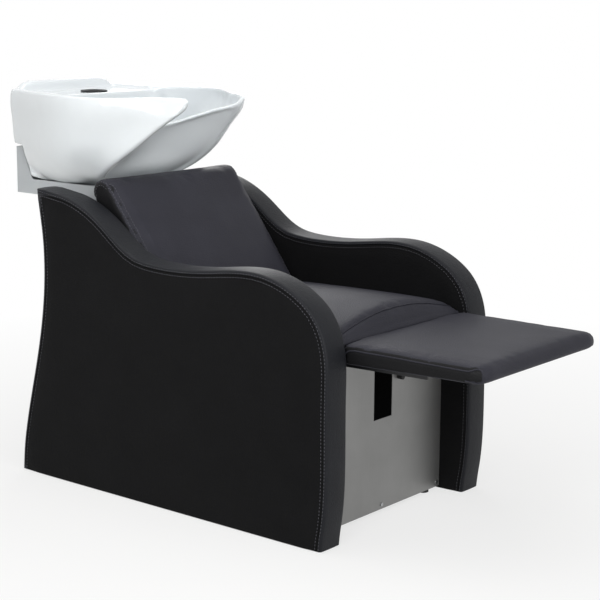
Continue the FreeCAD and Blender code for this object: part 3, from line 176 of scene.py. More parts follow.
def chinaMaterial():
    material, tree, shader, where = startMaterial("glazedChina", {
        "Coat Weight": glaze["coat"], "Coat Roughness": glaze["coatRoughness"], "Specular IOR Level": 0.5})
    flow = addNode(tree, "TexNoise", {"Scale": perMetre(glaze["flow"]), "Detail": 2.0}, {"Vector": where})
    body = addNode(tree, "TexNoise", {"Scale": perMetre(glaze["body"]), "Detail": 3.0}, {"Vector": where})
    twoTone(tree, shader, body.outputs["Fac"], glaze["dark"], glaze["light"])
    roughnessFrom(tree, shader, body.outputs["Fac"], glaze["low"], glaze["high"])
    bumpFrom(tree, shader, flow.outputs["Fac"], glaze["depth"], glaze["strength"])
    return material


# Stainless sheet, belt ground upwards: long fine scratches blur the light sideways.
groundSheet = {"dark": "#7f7f7e", "light": "#929291", "low": 0.38, "high": 0.54, "anisotropy": 0.5,
               "apart": 1.5, "long": 160, "smear": 120, "depth": 0.00012, "strength": 0.5}


def groundSheetMaterial():
    material, tree, shader, where = startMaterial("groundStainlessSheet", {
        "Metallic": 1.0, "Anisotropic": groundSheet["anisotropy"]})
    # Grit 240 scratches are about 0.1 mm apart; they are drawn 1.5 mm apart so that they show.
    apart, along = perMetre(groundSheet["apart"]), perMetre(groundSheet["long"])
    stretched = addNode(tree, "Mapping", {"Scale": (apart, apart, along)}, {"Vector": where})
    scratches = addNode(tree, "TexNoise", {"Scale": 1.0, "Detail": 4.0, "Roughness": 0.7},
                        {"Vector": stretched.outputs["Vector"]})
    smears = addNode(tree, "TexNoise", {"Scale": perMetre(groundSheet["smear"]), "Detail": 3.0},
                     {"Vector": where})
    twoTone(tree, shader, smears.outputs["Fac"], groundSheet["dark"], groundSheet["light"])
    roughnessFrom(tree, shader, scratches.outputs["Fac"], groundSheet["low"], groundSheet["high"])
    bumpFrom(tree, shader, scratches.outputs["Fac"], groundSheet["depth"], groundSheet["strength"])
    return material


# Polyester powder paint, baked on steel: an even skin with a fine orange peel and small specks.
powderPaint = {"specular": 0.45, "peel": 2.4, "wear": 70, "depth": 0.00025, "strength": 0.6}


def powderPaintMaterial(name, dark, light, low, high):
    material, tree, shader, where = startMaterial(name, {"Specular IOR Level": powderPaint["specular"]})
    peel = addNode(tree, "TexNoise", {"Scale": perMetre(powderPaint["peel"]), "Detail": 2.0}, {"Vector": where})
    wear = addNode(tree, "TexNoise", {"Scale": perMetre(powderPaint["wear"]), "Detail": 4.0}, {"Vector": where})
    twoTone(tree, shader, wear.outputs["Fac"], dark, light)
    roughnessFrom(tree, shader, wear.outputs["Fac"], low, high)
    bumpFrom(tree, shader, peel.outputs["Fac"], powderPaint["depth"], powderPaint["strength"])
    return material


# Zinc plate or chrome on steel: zinc is cloudy and greyish, chrome is clean and smoother.
plating = {"cloud": 14, "mark": 1.5, "depth": 0.00004, "strength": 0.4}


def platedMaterial(name, dark, light, low, high):
    material, tree, shader, where = startMaterial(name, {"Metallic": 1.0})
    clouds = addNode(tree, "TexNoise", {"Scale": perMetre(plating["cloud"]), "Detail": 4.0}, {"Vector": where})
    marks = addNode(tree, "TexNoise", {"Scale": perMetre(plating["mark"]), "Detail": 3.0}, {"Vector": where})
    twoTone(tree, shader, clouds.outputs["Fac"], dark, light)
    roughnessFrom(tree, shader, clouds.outputs["Fac"], low, high)
    bumpFrom(tree, shader, marks.outputs["Fac"], plating["depth"], plating["strength"])
    return material


# Birch plywood, stained dark, and particle board: a figure drawn out along the grain, matt and a little rough.
board = {"specular": 0.3, "low": 0.55, "high": 0.75, "grainWidth": 9, "ply": 5, "depth": 0.0003, "strength": 0.5}


def boardMaterial(name, dark, light, grainLength):
    material, tree, shader, where = startMaterial(name, {"Specular IOR Level": board["specular"]})
    grain = (perMetre(grainLength), perMetre(board["grainWidth"]), perMetre(board["ply"]))
    stretched = addNode(tree, "Mapping", {"Scale": grain}, {"Vector": where})
    figure = addNode(tree, "TexNoise", {"Scale": 1.0, "Detail": 6.0, "Roughness": 0.65, "Distortion": 0.4},
                     {"Vector": stretched.outputs["Vector"]})
    twoTone(tree, shader, figure.outputs["Fac"], dark, light)
    roughnessFrom(tree, shader, figure.outputs["Fac"], board["low"], board["high"])
    bumpFrom(tree, shader, figure.outputs["Fac"], board["depth"], board["strength"])
    return material


# Moulded rubber, nylon and PVC: even colour with a spark-eroded mould texture.
mould = {"specular": 0.4, "spark": 1.8, "cloud": 40, "depth": 0.00012, "strength": 0.5}


def mouldedMaterial(name, dark, light, low, high):
    material, tree, shader, where = startMaterial(name, {"Specular IOR Level": mould["specular"]})
    spark = addNode(tree, "TexNoise", {"Scale": perMetre(mould["spark"]), "Detail": 3.0}, {"Vector": where})
    clouds = addNode(tree, "TexNoise", {"Scale": perMetre(mould["cloud"]), "Detail": 2.0}, {"Vector": where})
    twoTone(tree, shader, clouds.outputs["Fac"], dark, light)
    roughnessFrom(tree, shader, spark.outputs["Fac"], low, high)
    bumpFrom(tree, shader, spark.outputs["Fac"], mould["depth"], mould["strength"])
    return material


finishes = {
    "upholstery": leatheretteMaterial("padLeatheretteWithPaintedSheen", leatherette["pad"]),
    "panel_cover": leatheretteMaterial("panelLeatherette", leatherette["panel"]),
    "panel_band": leatheretteMaterial("bandLeatheretteWithPaintedSheen", leatherette["band"]),
    "panel_board": boardMaterial("particleBoard", "#8a7455", "#a8916c", 12),
    "plywood": boardMaterial("stainedBirchPlywood", "#1d1a18", "#302b28", 90),
    "frame_steel": powderPaintMaterial("blackPowderPaint", "#101113", "#17181a", 0.42, 0.55),
    "sheet_steel": groundSheetMaterial(),
    "linkage_steel": powderPaintMaterial("satinBlackPowderPaint", "#17181a", "#222326", 0.38, 0.5),
    "bright_steel": platedMaterial("zincPlatedSteel", "#9a9c9e", "#b9bbbc", 0.28, 0.42),
    "spring_tube": powderPaintMaterial("blackCylinderPaint", "#0e0f10", "#151618", 0.25, 0.35),
    "spring_shaft": platedMaterial("chromePlatedSteel", "#c3c6c8", "#d0d3d4", 0.08, 0.16),
    "ceramic": chinaMaterial(),
    "housing_sheet": powderPaintMaterial("lightGreyPowderPaint", "#b4b8bb", "#c0c4c6", 0.35, 0.48),
    "plumbing_plastic": mouldedMaterial("greyPvc", "#7f8385", "#909496", 0.35, 0.48),
    "rubber": mouldedMaterial("blackRubber", "#121213", "#1b1b1c", 0.6, 0.78),
    "glide_plastic": mouldedMaterial("blackNylon", "#141415", "#1e1e20", 0.45, 0.6),
}
thread = threadMaterial()
shadedBoxing = leatheretteMaterial("shadedBoxingLeatherette", leatherette["shadedBoxing"])
# The tilt's steel under the bowl is painted like the housing beside it.
paleNodes = ("basin_tilt_cradle", "basin_tilt_ears")

for part in frame["record"]["subparts"]:
    for place in nodes[part["node"]].material_slots:
        place.material = finishes["housing_sheet" if part["node"] in paleNodes else part["material_slot"]]
print("materials made:", len(finishes) + 2)


# Shared tools

sameSpot = 0.00002  # corners nearer than this are one


def mergedCopy(nodeName):
    shape = bmesh.new()
    shape.from_mesh(nodes[nodeName].data)
    bmesh.ops.remove_doubles(shape, verts=shape.verts, dist=sameSpot)
    return shape


def addPiece(name, mesh, body, slotName, material=None, smooth=True):
    piece = bpy.data.objects.new(name, mesh)
    bpy.context.scene.collection.objects.link(piece)
    mesh.materials.append(material or finishes[slotName])
    if smooth:
        mesh.shade_smooth()
    else:
        mesh.shade_flat()
    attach(piece, body)
    return piece


def asMesh(shape, name):
    mesh = bpy.data.meshes.new(name)
    shape.to_mesh(mesh)
    shape.free()
    return mesh


def settled(piece):
    # The mesh with its modifiers worked in.
    bpy.context.view_layer.update()
    return bpy.data.meshes.new_from_object(piece.evaluated_get(bpy.context.evaluated_depsgraph_get()))


def workIn(piece):
    mesh = settled(piece)
    piece.modifiers.clear()
    old = piece.data
    piece.data = mesh
    bpy.data.meshes.remove(old)


def subdivide(piece, levels):
    step = piece.modifiers.new("rounding", "SUBSURF")
    step.levels = levels
    step.render_levels = levels


def surfaceOf(piece):
    shape = bmesh.new()
    shape.from_mesh(settled(piece))
    return BVHTree.FromBMesh(shape)


def resampled(points, pitch):
    # Places at an even pitch along a run of points, each with its direction.
    places, left = [], pitch / 2
    for first, last in zip(points, points[1:]):
        run = (last - first).length
        while left <= run and run:
            places.append((first.lerp(last, left / run), (last - first).normalized()))
            left += pitch
        left -= run
    return places


def smoothRun(points, order=4, steps=8):
    curve = bpy.data.curves.new("run", "CURVE")
    curve.dimensions = "3D"
    spline = curve.splines.new("NURBS")
    spline.points.add(len(points) - 1)
    for spot, point in zip(spline.points, points):
        spot.co = (*point, 1)
    spline.order_u = order
    spline.use_endpoint_u = True
    spline.resolution_u = steps
    holder = bpy.data.objects.new("run", curve)
    bpy.context.scene.collection.objects.link(holder)
    mesh = settled(holder)
    run = [vertex.co.copy() for vertex in mesh.vertices]
    bpy.data.objects.remove(holder)
    return run


def stitchRow(shape, surface, points, stitch):
    for spot, along in resampled(points, stitch["pitch"]):
        place, normal = surface.find_nearest(spot)[:2]
        side = along.cross(normal).normalized()
        turn = Matrix((side, side.cross(normal), normal)).transposed().to_4x4()
        size = Matrix.Diagonal((stitch["width"] / 2, stitch["length"] / 2, stitch["height"], 1))
        bmesh.ops.create_icosphere(shape, subdivisions=1, radius=1,
                                   matrix=Matrix.Translation(place) @ turn @ size)


def cordRun(shape, points, radius):
    # A round welt along a run of points.
    curve = bpy.data.curves.new("welt", "CURVE")
    curve.dimensions = "3D"
    curve.bevel_depth = radius
    curve.bevel_resolution = 3
    curve.use_fill_caps = True
    spline = curve.splines.new("POLY")
    spline.points.add(len(points) - 1)
    for spot, point in zip(spline.points, points):
        spot.co = (*point, 1)
    holder = bpy.data.objects.new("welt", curve)
    bpy.context.scene.collection.objects.link(holder)
    mesh = settled(holder)
    bpy.data.objects.remove(holder)
    shape.from_mesh(mesh)
    bpy.data.meshes.remove(mesh)


# Side panels: leatherette pulled over the board, its band lapped round the edge and sewn down on both faces.

panel = {
    "cover": 0.006, "floor": 0.003, "runOut": 0.06, "edgeRound": 0.007, "roundSteps": 3, "lap": 0.002,
    "seamWidth": 0.0020, "seamDepth": 0.0024, "puff": 0.0034, "puffRun": 0.034, "puffStart": 0.7,
    "bandCrown": 0.0018, "bandLeast": 0.03, "rowGap": 0.0038, "rowLift": 0.002, "cornerRun": 0.072,
    "cornerTurn": 40, "creaseTurn": 50, "crease": 0.85, "levels": 2,
}
# How near a face or an edge of the solid has to be to straight, square or level to count as such.
flat = {"side": 0.999, "across": 0.99, "under": -0.9, "turn": 0.1, "height": 0.001}
stitch = {"pitch": 0.0085, "length": 0.0062, "width": 0.0019, "height": 0.0009}


def sideFaces(shape):
    sides = [face for face in shape.faces if abs(face.normal.x) > flat["side"]]
    return sorted(sides, key=lambda face: face.calc_area())[-2:]


def runsAcross(edge):
    return abs((edge.verts[0].co - edge.verts[1].co).normalized().x) > flat["across"]


def clearOfFloor(edge):
    return all(face.normal.z > flat["under"] for face in edge.link_faces)


def insetFace(shape, face, thickness, depth=0.0):
    bmesh.ops.inset_region(shape, faces=[face], thickness=thickness, depth=depth, use_even_offset=True,
                           use_boundary=True)
    return [loop.vert.co.copy() for loop in face.loops]


def clearCorners(shape):
    # Takes out the outline's short chords beside its sharp corners, so that the seams can be inset there.
    across = [edge for edge in shape.edges if runsAcross(edge)]
    corners = [edge for edge in across if edge.calc_face_angle(0) > math.radians(panel["cornerTurn"])]
    near = [edge for edge in across if edge not in corners
            and min((edge.verts[0].co.yz - corner.verts[0].co.yz).length for corner in corners) < panel["cornerRun"]]
    bmesh.ops.dissolve_edges(shape, edges=near, use_verts=True)
    shape.normal_update()


def trimmed(piece):
    # The cover runs on under the panel and is cut off level, just over the floor.
    shape = bmesh.new()
    shape.from_mesh(piece.data)
    cut = bmesh.ops.bisect_plane(shape, geom=shape.verts[:] + shape.edges[:] + shape.faces[:],
                                 plane_co=(0, 0, panel["floor"]), plane_no=(0, 0, -1), clear_outer=True)
    hem = [item for item in cut["geom_cut"] if isinstance(item, bmesh.types.BMEdge)]
    for face in bmesh.ops.edgeloop_fill(shape, edges=hem)["faces"]:
        face.material_index = 1
        face.smooth = False
    for edge in hem:
        edge.smooth = False
    bmesh.ops.recalc_face_normals(shape, faces=shape.faces)
    shape.to_mesh(piece.data)
    shape.free()


def panelCover(hand):
    shape = mergedCopy("%s_panel_core" % hand)
    bmesh.ops.dissolve_limit(shape, angle_limit=math.radians(flat["turn"]), verts=shape.verts,
                             edges=shape.edges)
    shape.normal_update()
    moves = [(vertex, vertex.normal * vertex.calc_shell_factor() * panel["cover"]) for vertex in shape.verts]
    for vertex, move in moves:
        vertex.co += move
        if vertex.co.z < panel["floor"] + flat["height"]:
            vertex.co.z = -panel["runOut"]
    shape.normal_update()
    clearCorners(shape)
    rims = [edge for face in sideFaces(shape) for edge in face.edges if clearOfFloor(edge)]
    bmesh.ops.bevel(shape, geom=rims, offset=panel["edgeRound"], segments=panel["roundSteps"], profile=0.5,
                    affect="EDGES", material=-1, clamp_overlap=True)
    shape.normal_update()
    rows = []
    for face in shape.faces:
        face.material_index = 1
    for face in sideFaces(shape):
        rows.append([loop.vert.co.copy() for loop in face.loops])
        insetFace(shape, face, panel["lap"])
        face.material_index = 0
        insetFace(shape, face, panel["seamWidth"], -panel["seamDepth"])
        insetFace(shape, face, panel["seamWidth"], panel["seamDepth"])
        rows.append(insetFace(shape, face, panel["rowGap"]))
        insetFace(shape, face, panel["puffRun"] / 2, panel["puff"] * panel["puffStart"])
        insetFace(shape, face, panel["puffRun"] / 2, panel["puff"] * (1 - panel["puffStart"]))
    crossing = [edge for edge in shape.edges
                if runsAcross(edge) and edge.calc_length() > panel["bandLeast"] and clearOfFloor(edge)]
    made = bmesh.ops.subdivide_edges(shape, edges=crossing, cuts=1, use_grid_fill=True)
    middle = [item for item in made["geom_inner"] if isinstance(item, bmesh.types.BMVert)]
    shape.normal_update()
    for vertex in middle:
        vertex.co += vertex.normal * panel["bandCrown"]
    crease = shape.edges.layers.float.new("crease_edge")
    for edge in shape.edges:
        if edge.calc_face_angle(0) > math.radians(panel["creaseTurn"]):
            edge[crease] = panel["crease"]
    mesh = asMesh(shape, "%sPanelCover" % hand)
    cover = addPiece("%sPanelCover" % hand, mesh, "base", "panel_cover")
    mesh.materials.append(finishes["panel_band"])
    subdivide(cover, panel["levels"])
    workIn(cover)
    trimmed(cover)
    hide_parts(*["%s_panel_%s" % (hand, label) for label in ("core", "edge_band", "outer_facing",
                                                                    "inner_facing")])
    return cover, rows


def fromFloor(low, high):
    # Where a run comes up through the floor.
    share = (panel["floor"] + panel["rowLift"] - low.z) / (high.z - low.z)
    return low.lerp(high, share)


def panelStitches(hand, cover, rows):
    shape = bmesh.new()
    surface = surfaceOf(cover)
    for row in rows:
        low = min(point.z for point in row)
        bottom = low + flat["height"]
        start = max(range(len(row)), key=lambda index: (row[index].z < bottom, -row[index].y))
        turned = row[start:] + row[:start]
        if turned[1].z < bottom:
            turned = turned[1:] + turned[:1]
        turned[0] = fromFloor(turned[0], turned[1])
        turned[-1] = fromFloor(turned[-1], turned[-2])
        stitchRow(shape, surface, turned, stitch)
    mesh = asMesh(shape, "%sPanelStitches" % hand)
    addPiece("%sPanelStitches" % hand, mesh, "base", "panel_band", thread)


for hand in ("right", "left"):
    cover, rows = panelCover(hand)
    panelStitches(hand, cover, rows)
print("side panels covered and sewn")


# Cushions: foam in leatherette. Each is blown up a little as cloth, and its welts are laid on afterwards.

pads = {
    "seat_cushion": {"voxel": 0.008, "shrink": 0.003, "cap": 0.009, "towards": (0, -0.35, 1), "fill": 0.75,
                     "body": "base"},
    "back_cushion": {"voxel": 0.008, "shrink": 0.003, "cap": 0.008, "towards": (0, -1, 0.75), "fill": 0.8,
                     "body": "base"},
    "leg_rest_pad": {"voxel": 0.0065, "shrink": 0.002, "cap": 0.004, "towards": (0, -0.2, 1), "fill": 0.85,
                     "body": "leg_rest"},
}
crown = {"half": 0.247, "y": -0.3805, "low": 0.486, "rise": 0.044, "steps": 12}
seam = {"pitch": 0.003, "reach": 0.009, "depth": 0.0024, "welt": 0.0017, "weltLift": 0.4, "rowShift": 0.0055,
        "boxingTurn": 0.72, "sideTurn": 0.75}
cloth = {"frames": 20, "pressure": 4.0, "quality": 4, "stiffness": 30, "mass": 0.35, "lean": 1.6, "least": 0.1}


def blownUp(piece):
    step = piece.modifiers.new("cloth", "CLOTH")
    step.settings.quality = cloth["quality"]
    step.settings.mass = cloth["mass"]
    step.settings.tension_stiffness = cloth["stiffness"]
    step.settings.compression_stiffness = cloth["stiffness"]
    step.settings.use_pressure = True
    step.settings.uniform_pressure_force = cloth["pressure"]
    step.settings.effector_weights.gravity = 0
    step.point_cache.frame_start = 1
    step.point_cache.frame_end = cloth["frames"]
    for number in range(1, cloth["frames"] + 1):
        bpy.context.scene.frame_set(number)
    mesh = settled(piece)
    places = [vertex.co.copy() for vertex in mesh.vertices]
    bpy.data.meshes.remove(mesh)
    piece.modifiers.clear()
    bpy.context.scene.frame_set(1)
    return places


def sideRun(nodeName, side):
    # The outline of a cushion's side, from the solid, open along its straight hidden edge.
    shape = mergedCopy(nodeName)
    shape.normal_update()
    faces = {face for face in shape.faces if face.normal.x * side > seam["sideTurn"]}
    rims = [edge for edge in shape.edges if sum(face in faces for face in edge.link_faces) == 1]
    links = {}
    for edge in rims:
        for first, last in (edge.verts, reversed(edge.verts)):
            links.setdefault(first, []).append(last)
    run = [max(links, key=lambda vertex: vertex.co.z)]
    while True:
        onward = [vertex for vertex in links[run[-1]] if vertex not in run]
        if not onward:
            break
        run.append(onward[0])
    points = [vertex.co.copy() for vertex in run]
    gaps = [(points[index] - points[index - 1]).length for index in range(len(points))]
    start = gaps.index(max(gaps))
    return smoothRun(points[start:] + points[:start], 3)


def crownRun():
    # The seat's front seam, which rises and falls with the crown.
    points = []
    for step in range(-crown["steps"], crown["steps"] + 1):
        across = step / crown["steps"]
        points.append(Vector((crown["half"] * across, crown["y"],
                              crown["low"] + crown["rise"] * (1 - across ** 2))))
    return smoothRun(points, 3)


def pressSeams(piece, runs):
    spots = [spot for run in runs for spot, along in resampled(run, seam["pitch"])]
    tree = KDTree(len(spots))
    for index, spot in enumerate(spots):
        tree.insert(spot, index)
    tree.balance()
    for vertex in piece.data.vertices:
        distance = tree.find(vertex.co)[2]
        if distance < seam["reach"]:
            vertex.co -= vertex.normal * seam["depth"] * (1 - (distance / seam["reach"]) ** 2) ** 2


def laidOn(surface, points, shift=0.0, lift=0.0):
    # The run drawn onto a surface, moved sideways over it and lifted off it.
    moved = []
    for first, last in zip(points, points[1:]):
        place, normal = surface.find_nearest(first)[:2]
        moved.append(place + (last - first).normalized().cross(normal) * shift + normal * lift)
    return moved


def cushion(nodeName):
    pad = pads[nodeName]
    shape = mergedCopy(nodeName)
    shape.normal_update()
    for vertex in shape.verts:
        vertex.co -= vertex.normal * pad["shrink"]
    name = nodeName.split("_")[0] + "Cushion"
    piece = addPiece(name, asMesh(shape, name), pad["body"], "upholstery")
    grid = piece.modifiers.new("grid", "REMESH")
    grid.mode = "VOXEL"
    grid.voxel_size = pad["voxel"]
    grid.use_smooth_shade = True
    workIn(piece)
    before = [(vertex.co.copy(), vertex.normal.copy()) for vertex in piece.data.vertices]
    towards = Vector(pad["towards"]).normalized()
    for vertex, (start, normal), end in zip(piece.data.vertices, before, blownUp(piece)):
        move = end - start
        if move.length > pad["cap"]:
            move.length = pad["cap"]
        # Only the sitter's side swells: the rest lies on its board.
        free = min(1, max(0, normal.dot(towards) * cloth["lean"] + cloth["least"]))
        vertex.co = start + move * free
    subdivide(piece, 1)
    workIn(piece)
    runs = [sideRun(nodeName, side) for side in (-1, 1)]
    if nodeName == "seat_cushion":
        runs.append(crownRun())
    pressSeams(piece, runs)
    piece.data.shade_smooth()
    # Faces that turn sideways take the darker copy of the leatherette: painted shade on the cushions' sides.
    piece.data.materials.append(shadedBoxing)
    for face in piece.data.polygons:
        face.material_index = abs(face.normal.x) > seam["boxingTurn"]
    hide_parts(nodeName)
    surface = surfaceOf(piece)
    sewing = bmesh.new()
    for run in runs:
        if nodeName == "back_cushion":
            for shift in (-seam["rowShift"], seam["rowShift"]):
                stitchRow(sewing, surface, laidOn(surface, run, shift), stitch)
        else:
            cordRun(sewing, laidOn(surface, run, 0.0, seam["welt"] * seam["weltLift"]), seam["welt"])
    sewn = addPiece(name + "Seams", asMesh(sewing, name + "Seams"), pad["body"], "upholstery",
                    thread if nodeName == "back_cushion" else None)
    print("cushion:", nodeName, len(piece.data.vertices), "points,", len(sewn.data.vertices), "in its seams")


for nodeName in pads:
    cushion(nodeName)


# Basin: vitreous china, its form drawn fair through the solid's corners and its rims rounded by the glaze.

china = {"joinAngle": 25, "shapeAngle": 60, "creaseAngle": 56, "passes": 2, "voxel": 0.004, "smoothing": 12,
         "deckStart": 0.598, "deckLow": 0.972, "recessStart": 0.731, "recessTop": 0.862, "weld": 0.006,
         "planes": (0.992, 1.022), "planeReach": 0.0016, "planeTurn": 0.96, "bead": 0.0055, "beadDrop": 0.004,
         # Half of the neck notch's lip in millimetres, from its middle up to a horn's tip.
         "lip": [(0, 407, 917), (17, 405, 917.5), (33.5, 400.5, 919.5), (49.6, 386, 924.7), (61.5, 370.5, 931.3),
                 (70.6, 351, 938.5), (80.8, 321.5, 948.5), (87.5, 297, 957), (92.5, 270, 963.5), (96, 244, 969.5),
                 (99.5, 224, 976), (104, 212, 985), (107.5, 207, 994)],
         "throat": {"x": 0.14, "z": 0.868, "rise": 0.085, "y": 0.45, "push": 0.022}}


def fairThrough(piece, passes):
    # Moves the cage until its rounded surface runs through the corners that the cage started from.
    goals = [vertex.co.copy() for vertex in piece.data.vertices]
    for number in range(passes):
        mesh = settled(piece)
        for vertex, goal, reached in zip(piece.data.vertices, goals, mesh.vertices):
            vertex.co += goal - reached.co
        bpy.data.meshes.remove(mesh)


def squareCut(place):
    # Whether a corner belongs to the deck, its ledge or the recess over the housing.
    onDeck = place.y > china["deckStart"] and place.z > china["deckLow"]
    return onDeck or (place.y > china["recessStart"] and place.z < china["recessTop"])


def deepenThroat(shape):
    # The front wall falls back between the horns, under the neck notch.
    throat = china["throat"]
    for vertex in shape.verts:
        across, up = vertex.co.x / throat["x"], (vertex.co.z - throat["z"]) / throat["rise"]
        if vertex.co.y < throat["y"] and abs(across) < 1 and abs(up) < 1:
            vertex.co.y += throat["push"] * (1 - across ** 2) * (1 - up ** 2)


def lipBead(piece):
    # The notch's lip is rounded by a bead of clay that lies along it.
    half = [Vector(point) / 1000 - Vector((0, 0, china["beadDrop"])) for point in china["lip"]]
    mirrored = [Vector((-point.x, point.y, point.z)) for point in reversed(half[1:])]
    shape = bmesh.new()
    shape.from_mesh(piece.data)
    cordRun(shape, smoothRun(mirrored + half), china["bead"])
    shape.to_mesh(piece.data)
    shape.free()


def levelled(mesh):
    # The deck and ledge are flat: the grid's small steps come out of them.
    for vertex in mesh.vertices:
        if vertex.normal.z > china["planeTurn"] and vertex.co.y > china["deckStart"]:
            for plane in china["planes"]:
                if abs(vertex.co.z - plane) < china["planeReach"]:
                    vertex.co.z = plane


def basinPiece():
    shape = mergedCopy("basin")
    bmesh.ops.remove_doubles(shape, verts=[vertex for vertex in shape.verts if vertex.co.y < china["deckStart"]],
                             dist=china["weld"])
    deepenThroat(shape)
    bmesh.ops.join_triangles(shape, faces=shape.faces, angle_face_threshold=math.radians(china["joinAngle"]),
                             angle_shape_threshold=math.radians(china["shapeAngle"]))
    crease = shape.edges.layers.float.new("crease_edge")
    for edge in shape.edges:
        if edge.calc_face_angle(0) > math.radians(china["creaseAngle"]):
            edge[crease] = 1.0
    corner = shape.verts.layers.float.new("crease_vert")
    for vertex in shape.verts:
        vertex[corner] = float(squareCut(vertex.co))
    piece = addPiece("basinBowl", asMesh(shape, "basinBowl"), "basin_body", "ceramic")
    subdivide(piece, 2)
    fairThrough(piece, china["passes"])
    workIn(piece)
    lipBead(piece)
    grid = piece.modifiers.new("grid", "REMESH")
    grid.mode = "VOXEL"
    grid.voxel_size = china["voxel"]
    easing = piece.modifiers.new("glaze", "SMOOTH")
    easing.factor = 0.5
    easing.iterations = china["smoothing"]
    workIn(piece)
    levelled(piece.data)
    piece.data.shade_smooth()
    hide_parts("basin")
    print("basin:", len(piece.data.polygons), "faces")


basinPiece()


# Mixer bush: moulded rubber, pushed into the deck's hole where the hand shower's hose comes up.

bush = {"y": 0.6545, "deck": 0.992, "bore": 0.025, "neck": 0.0312, "flange": 0.0365, "thick": 0.004,
        "below": 0.013, "round": 0.0012, "rimTurn": 60, "steps": 64}


def mixerBush():
    shape = bmesh.new()
    top, low = bush["deck"] + bush["thick"], bush["deck"] - bush["below"]
    corners = [(bush["bore"], low), (bush["neck"], low), (bush["neck"], bush["deck"]),
               (bush["flange"], bush["deck"]), (bush["flange"], top), (bush["bore"], top)]
    ring = [shape.verts.new((radius, bush["y"], height)) for radius, height in corners]
    profile = [shape.edges.new((first, last)) for first, last in zip(ring, ring[1:] + ring[:1])]
    bmesh.ops.spin(shape, geom=ring + profile, cent=(0, bush["y"], 0), axis=(0, 0, 1), dvec=(0, 0, 0),
                   angle=math.tau, steps=bush["steps"], use_merge=True)
    bmesh.ops.remove_doubles(shape, verts=shape.verts, dist=sameSpot)
    bmesh.ops.recalc_face_normals(shape, faces=shape.faces)
    rims = [edge for edge in shape.edges if edge.calc_face_angle(0) > math.radians(bush["rimTurn"])]
    bmesh.ops.bevel(shape, geom=rims, offset=bush["round"], segments=3, profile=0.5, affect="EDGES",
                    material=-1, clamp_overlap=True)
    addPiece("mixerBush", asMesh(shape, "mixerBush"), "basin_body", "rubber")


mixerBush()
print("mixer bush fitted")


# Housing: its cheeks and front wall come up close under the bowl.

housing = {"wallTop": 0.745, "reach": 0.001, "raise": 0.015}


def housingPiece():
    shape = mergedCopy("basin_support_housing")
    for vertex in shape.verts:
        if abs(vertex.co.z - housing["wallTop"]) < housing["reach"]:
            vertex.co.z += housing["raise"]
    piece = addPiece("housingShell", asMesh(shape, "housingShell"), "base", "housing_sheet", smooth=False)
    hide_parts("basin_support_housing")


housingPiece()
print("housing raised")


# Studio: pale floor, white backdrop and wide soft lamps.

studio = {"floor": 14, "fibre": 500, "floorDark": "#e4e4e2", "floorLight": "#e8e8e6", "floorRoughness": 0.9,
          "glow": (0.7, 1.0), "glowRun": (0.7, 2.4), "ambient": 0.42}
softboxes = {
    "overheadBox": {"place": (-0.3, 0.6, 2.9), "aim": (0, 0.3, 0.5), "width": 2.2, "power": 29},
    "frontBox": {"place": (-1.2, -3.8, 1.5), "aim": (0, -0.1, 0.6), "width": 1.6, "power": 50},
    "keyBox": {"place": (-1.6, -1.0, 1.45), "aim": (-0.2, -0.3, 0.5), "width": 0.8, "power": 16},
    "sideBox": {"place": (-3.6, 0.8, 2.6), "aim": (0, 0.2, 0.7), "width": 1.6, "power": 7},
    "sheenBox": {"place": (2.2, 2.2, 1.75), "aim": (-0.2, -0.4, 0.5), "width": 0.9, "power": 16},
    "basinBox": {"place": (-3.2, -1.0, 0.5), "aim": (0, 0.4, 0.9), "width": 0.8, "power": 0.45, "spread": 20},
}


def seenDirectly(tree):
    # One for camera, glossy and transmission rays, and nought for the light that falls on the object.
    path = addNode(tree, "LightPath")
    first = addNode(tree, "Math", {"operation": "ADD", "use_clamp": True},
                    {0: path.outputs["Is Camera Ray"], 1: path.outputs["Is Glossy Ray"]})
    return addNode(tree, "Math", {"operation": "ADD", "use_clamp": True},
                   {0: first.outputs["Value"], 1: path.outputs["Is Transmission Ray"]}).outputs["Value"]


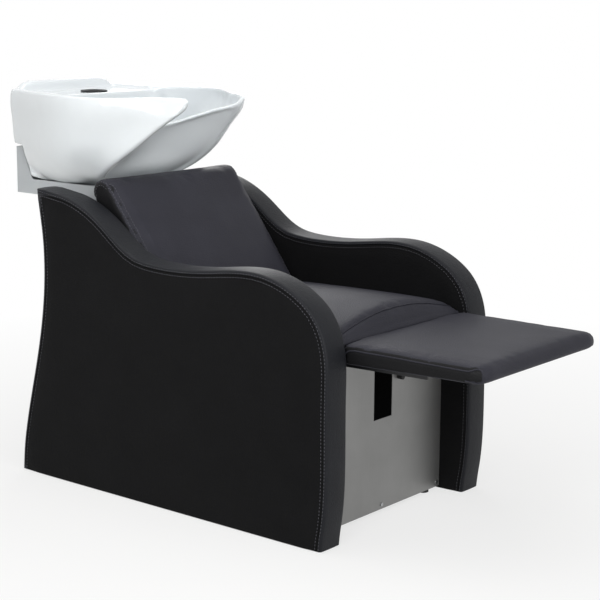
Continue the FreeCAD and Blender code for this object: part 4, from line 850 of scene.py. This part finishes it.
def studioFloor():
    shape = bmesh.new()
    bmesh.ops.create_grid(shape, x_segments=2, y_segments=2, size=studio["floor"])
    mesh = asMesh(shape, "studioFloor")
    floor = bpy.data.objects.new("studioFloor", mesh)
    bpy.context.scene.collection.objects.link(floor)
    material, tree, shader, where = startMaterial("paperRoll", {
        "Specular IOR Level": 0.0, "Roughness": studio["floorRoughness"]})
    fibres = addNode(tree, "TexNoise", {"Scale": perMetre(studio["fibre"]), "Detail": 2.0}, {"Vector": where})
    twoTone(tree, shader, fibres.outputs["Fac"], studio["floorDark"], studio["floorLight"])
    glow = addNode(tree, "Emission", {"Color": (1, 1, 1, 1), "Strength": 1.0})
    # The paper glows to white away from the object and keeps its shadow close by.
    away = addNode(tree, "VectorMath", {"operation": "LENGTH"}, {0: where})
    fade = addNode(tree, "MapRange", {"From Min": studio["glowRun"][0], "From Max": studio["glowRun"][1],
                                      "To Min": studio["glow"][0], "To Max": studio["glow"][1]},
                   {"Value": away.outputs["Value"]})
    share = addNode(tree, "Math", {"operation": "MULTIPLY"}, {0: seenDirectly(tree), 1: fade.outputs["Result"]})
    mixed = addNode(tree, "MixShader", {}, {0: share.outputs["Value"], 1: shader.outputs["BSDF"],
                                            2: glow.outputs["Emission"]})
    tree.links.new(mixed.outputs["Shader"], tree.nodes["Material Output"].inputs["Surface"])
    mesh.materials.append(material)


def studioWorld():
    world = bpy.data.worlds.new("studio")
    bpy.context.scene.world = world
    world.use_nodes = True
    tree = world.node_tree
    level = addNode(tree, "MapRange", {"To Min": studio["ambient"], "To Max": 1.0}, {"Value": seenDirectly(tree)})
    tree.nodes["Background"].inputs["Color"].default_value = (1, 1, 1, 1)
    tree.links.new(level.outputs["Result"], tree.nodes["Background"].inputs["Strength"])


def softbox(name, box):
    lamp = bpy.data.lights.new(name, "AREA")
    lamp.shape = "SQUARE"
    lamp.size = box["width"]
    lamp.energy = box["power"]
    lamp.spread = math.radians(box.get("spread", 180))
    holder = bpy.data.objects.new(name, lamp)
    bpy.context.scene.collection.objects.link(holder)
    holder.visible_camera = False
    place = Vector(box["place"])
    holder.matrix_world = Matrix.Translation(place) @ (Vector(box["aim"]) - place).to_track_quat(
        "-Z", "Y").to_matrix().to_4x4()


studioFloor()
studioWorld()
for name, box in softboxes.items():
    softbox(name, box)
bpy.context.scene.view_settings.view_transform = "Standard"
print("studio set")
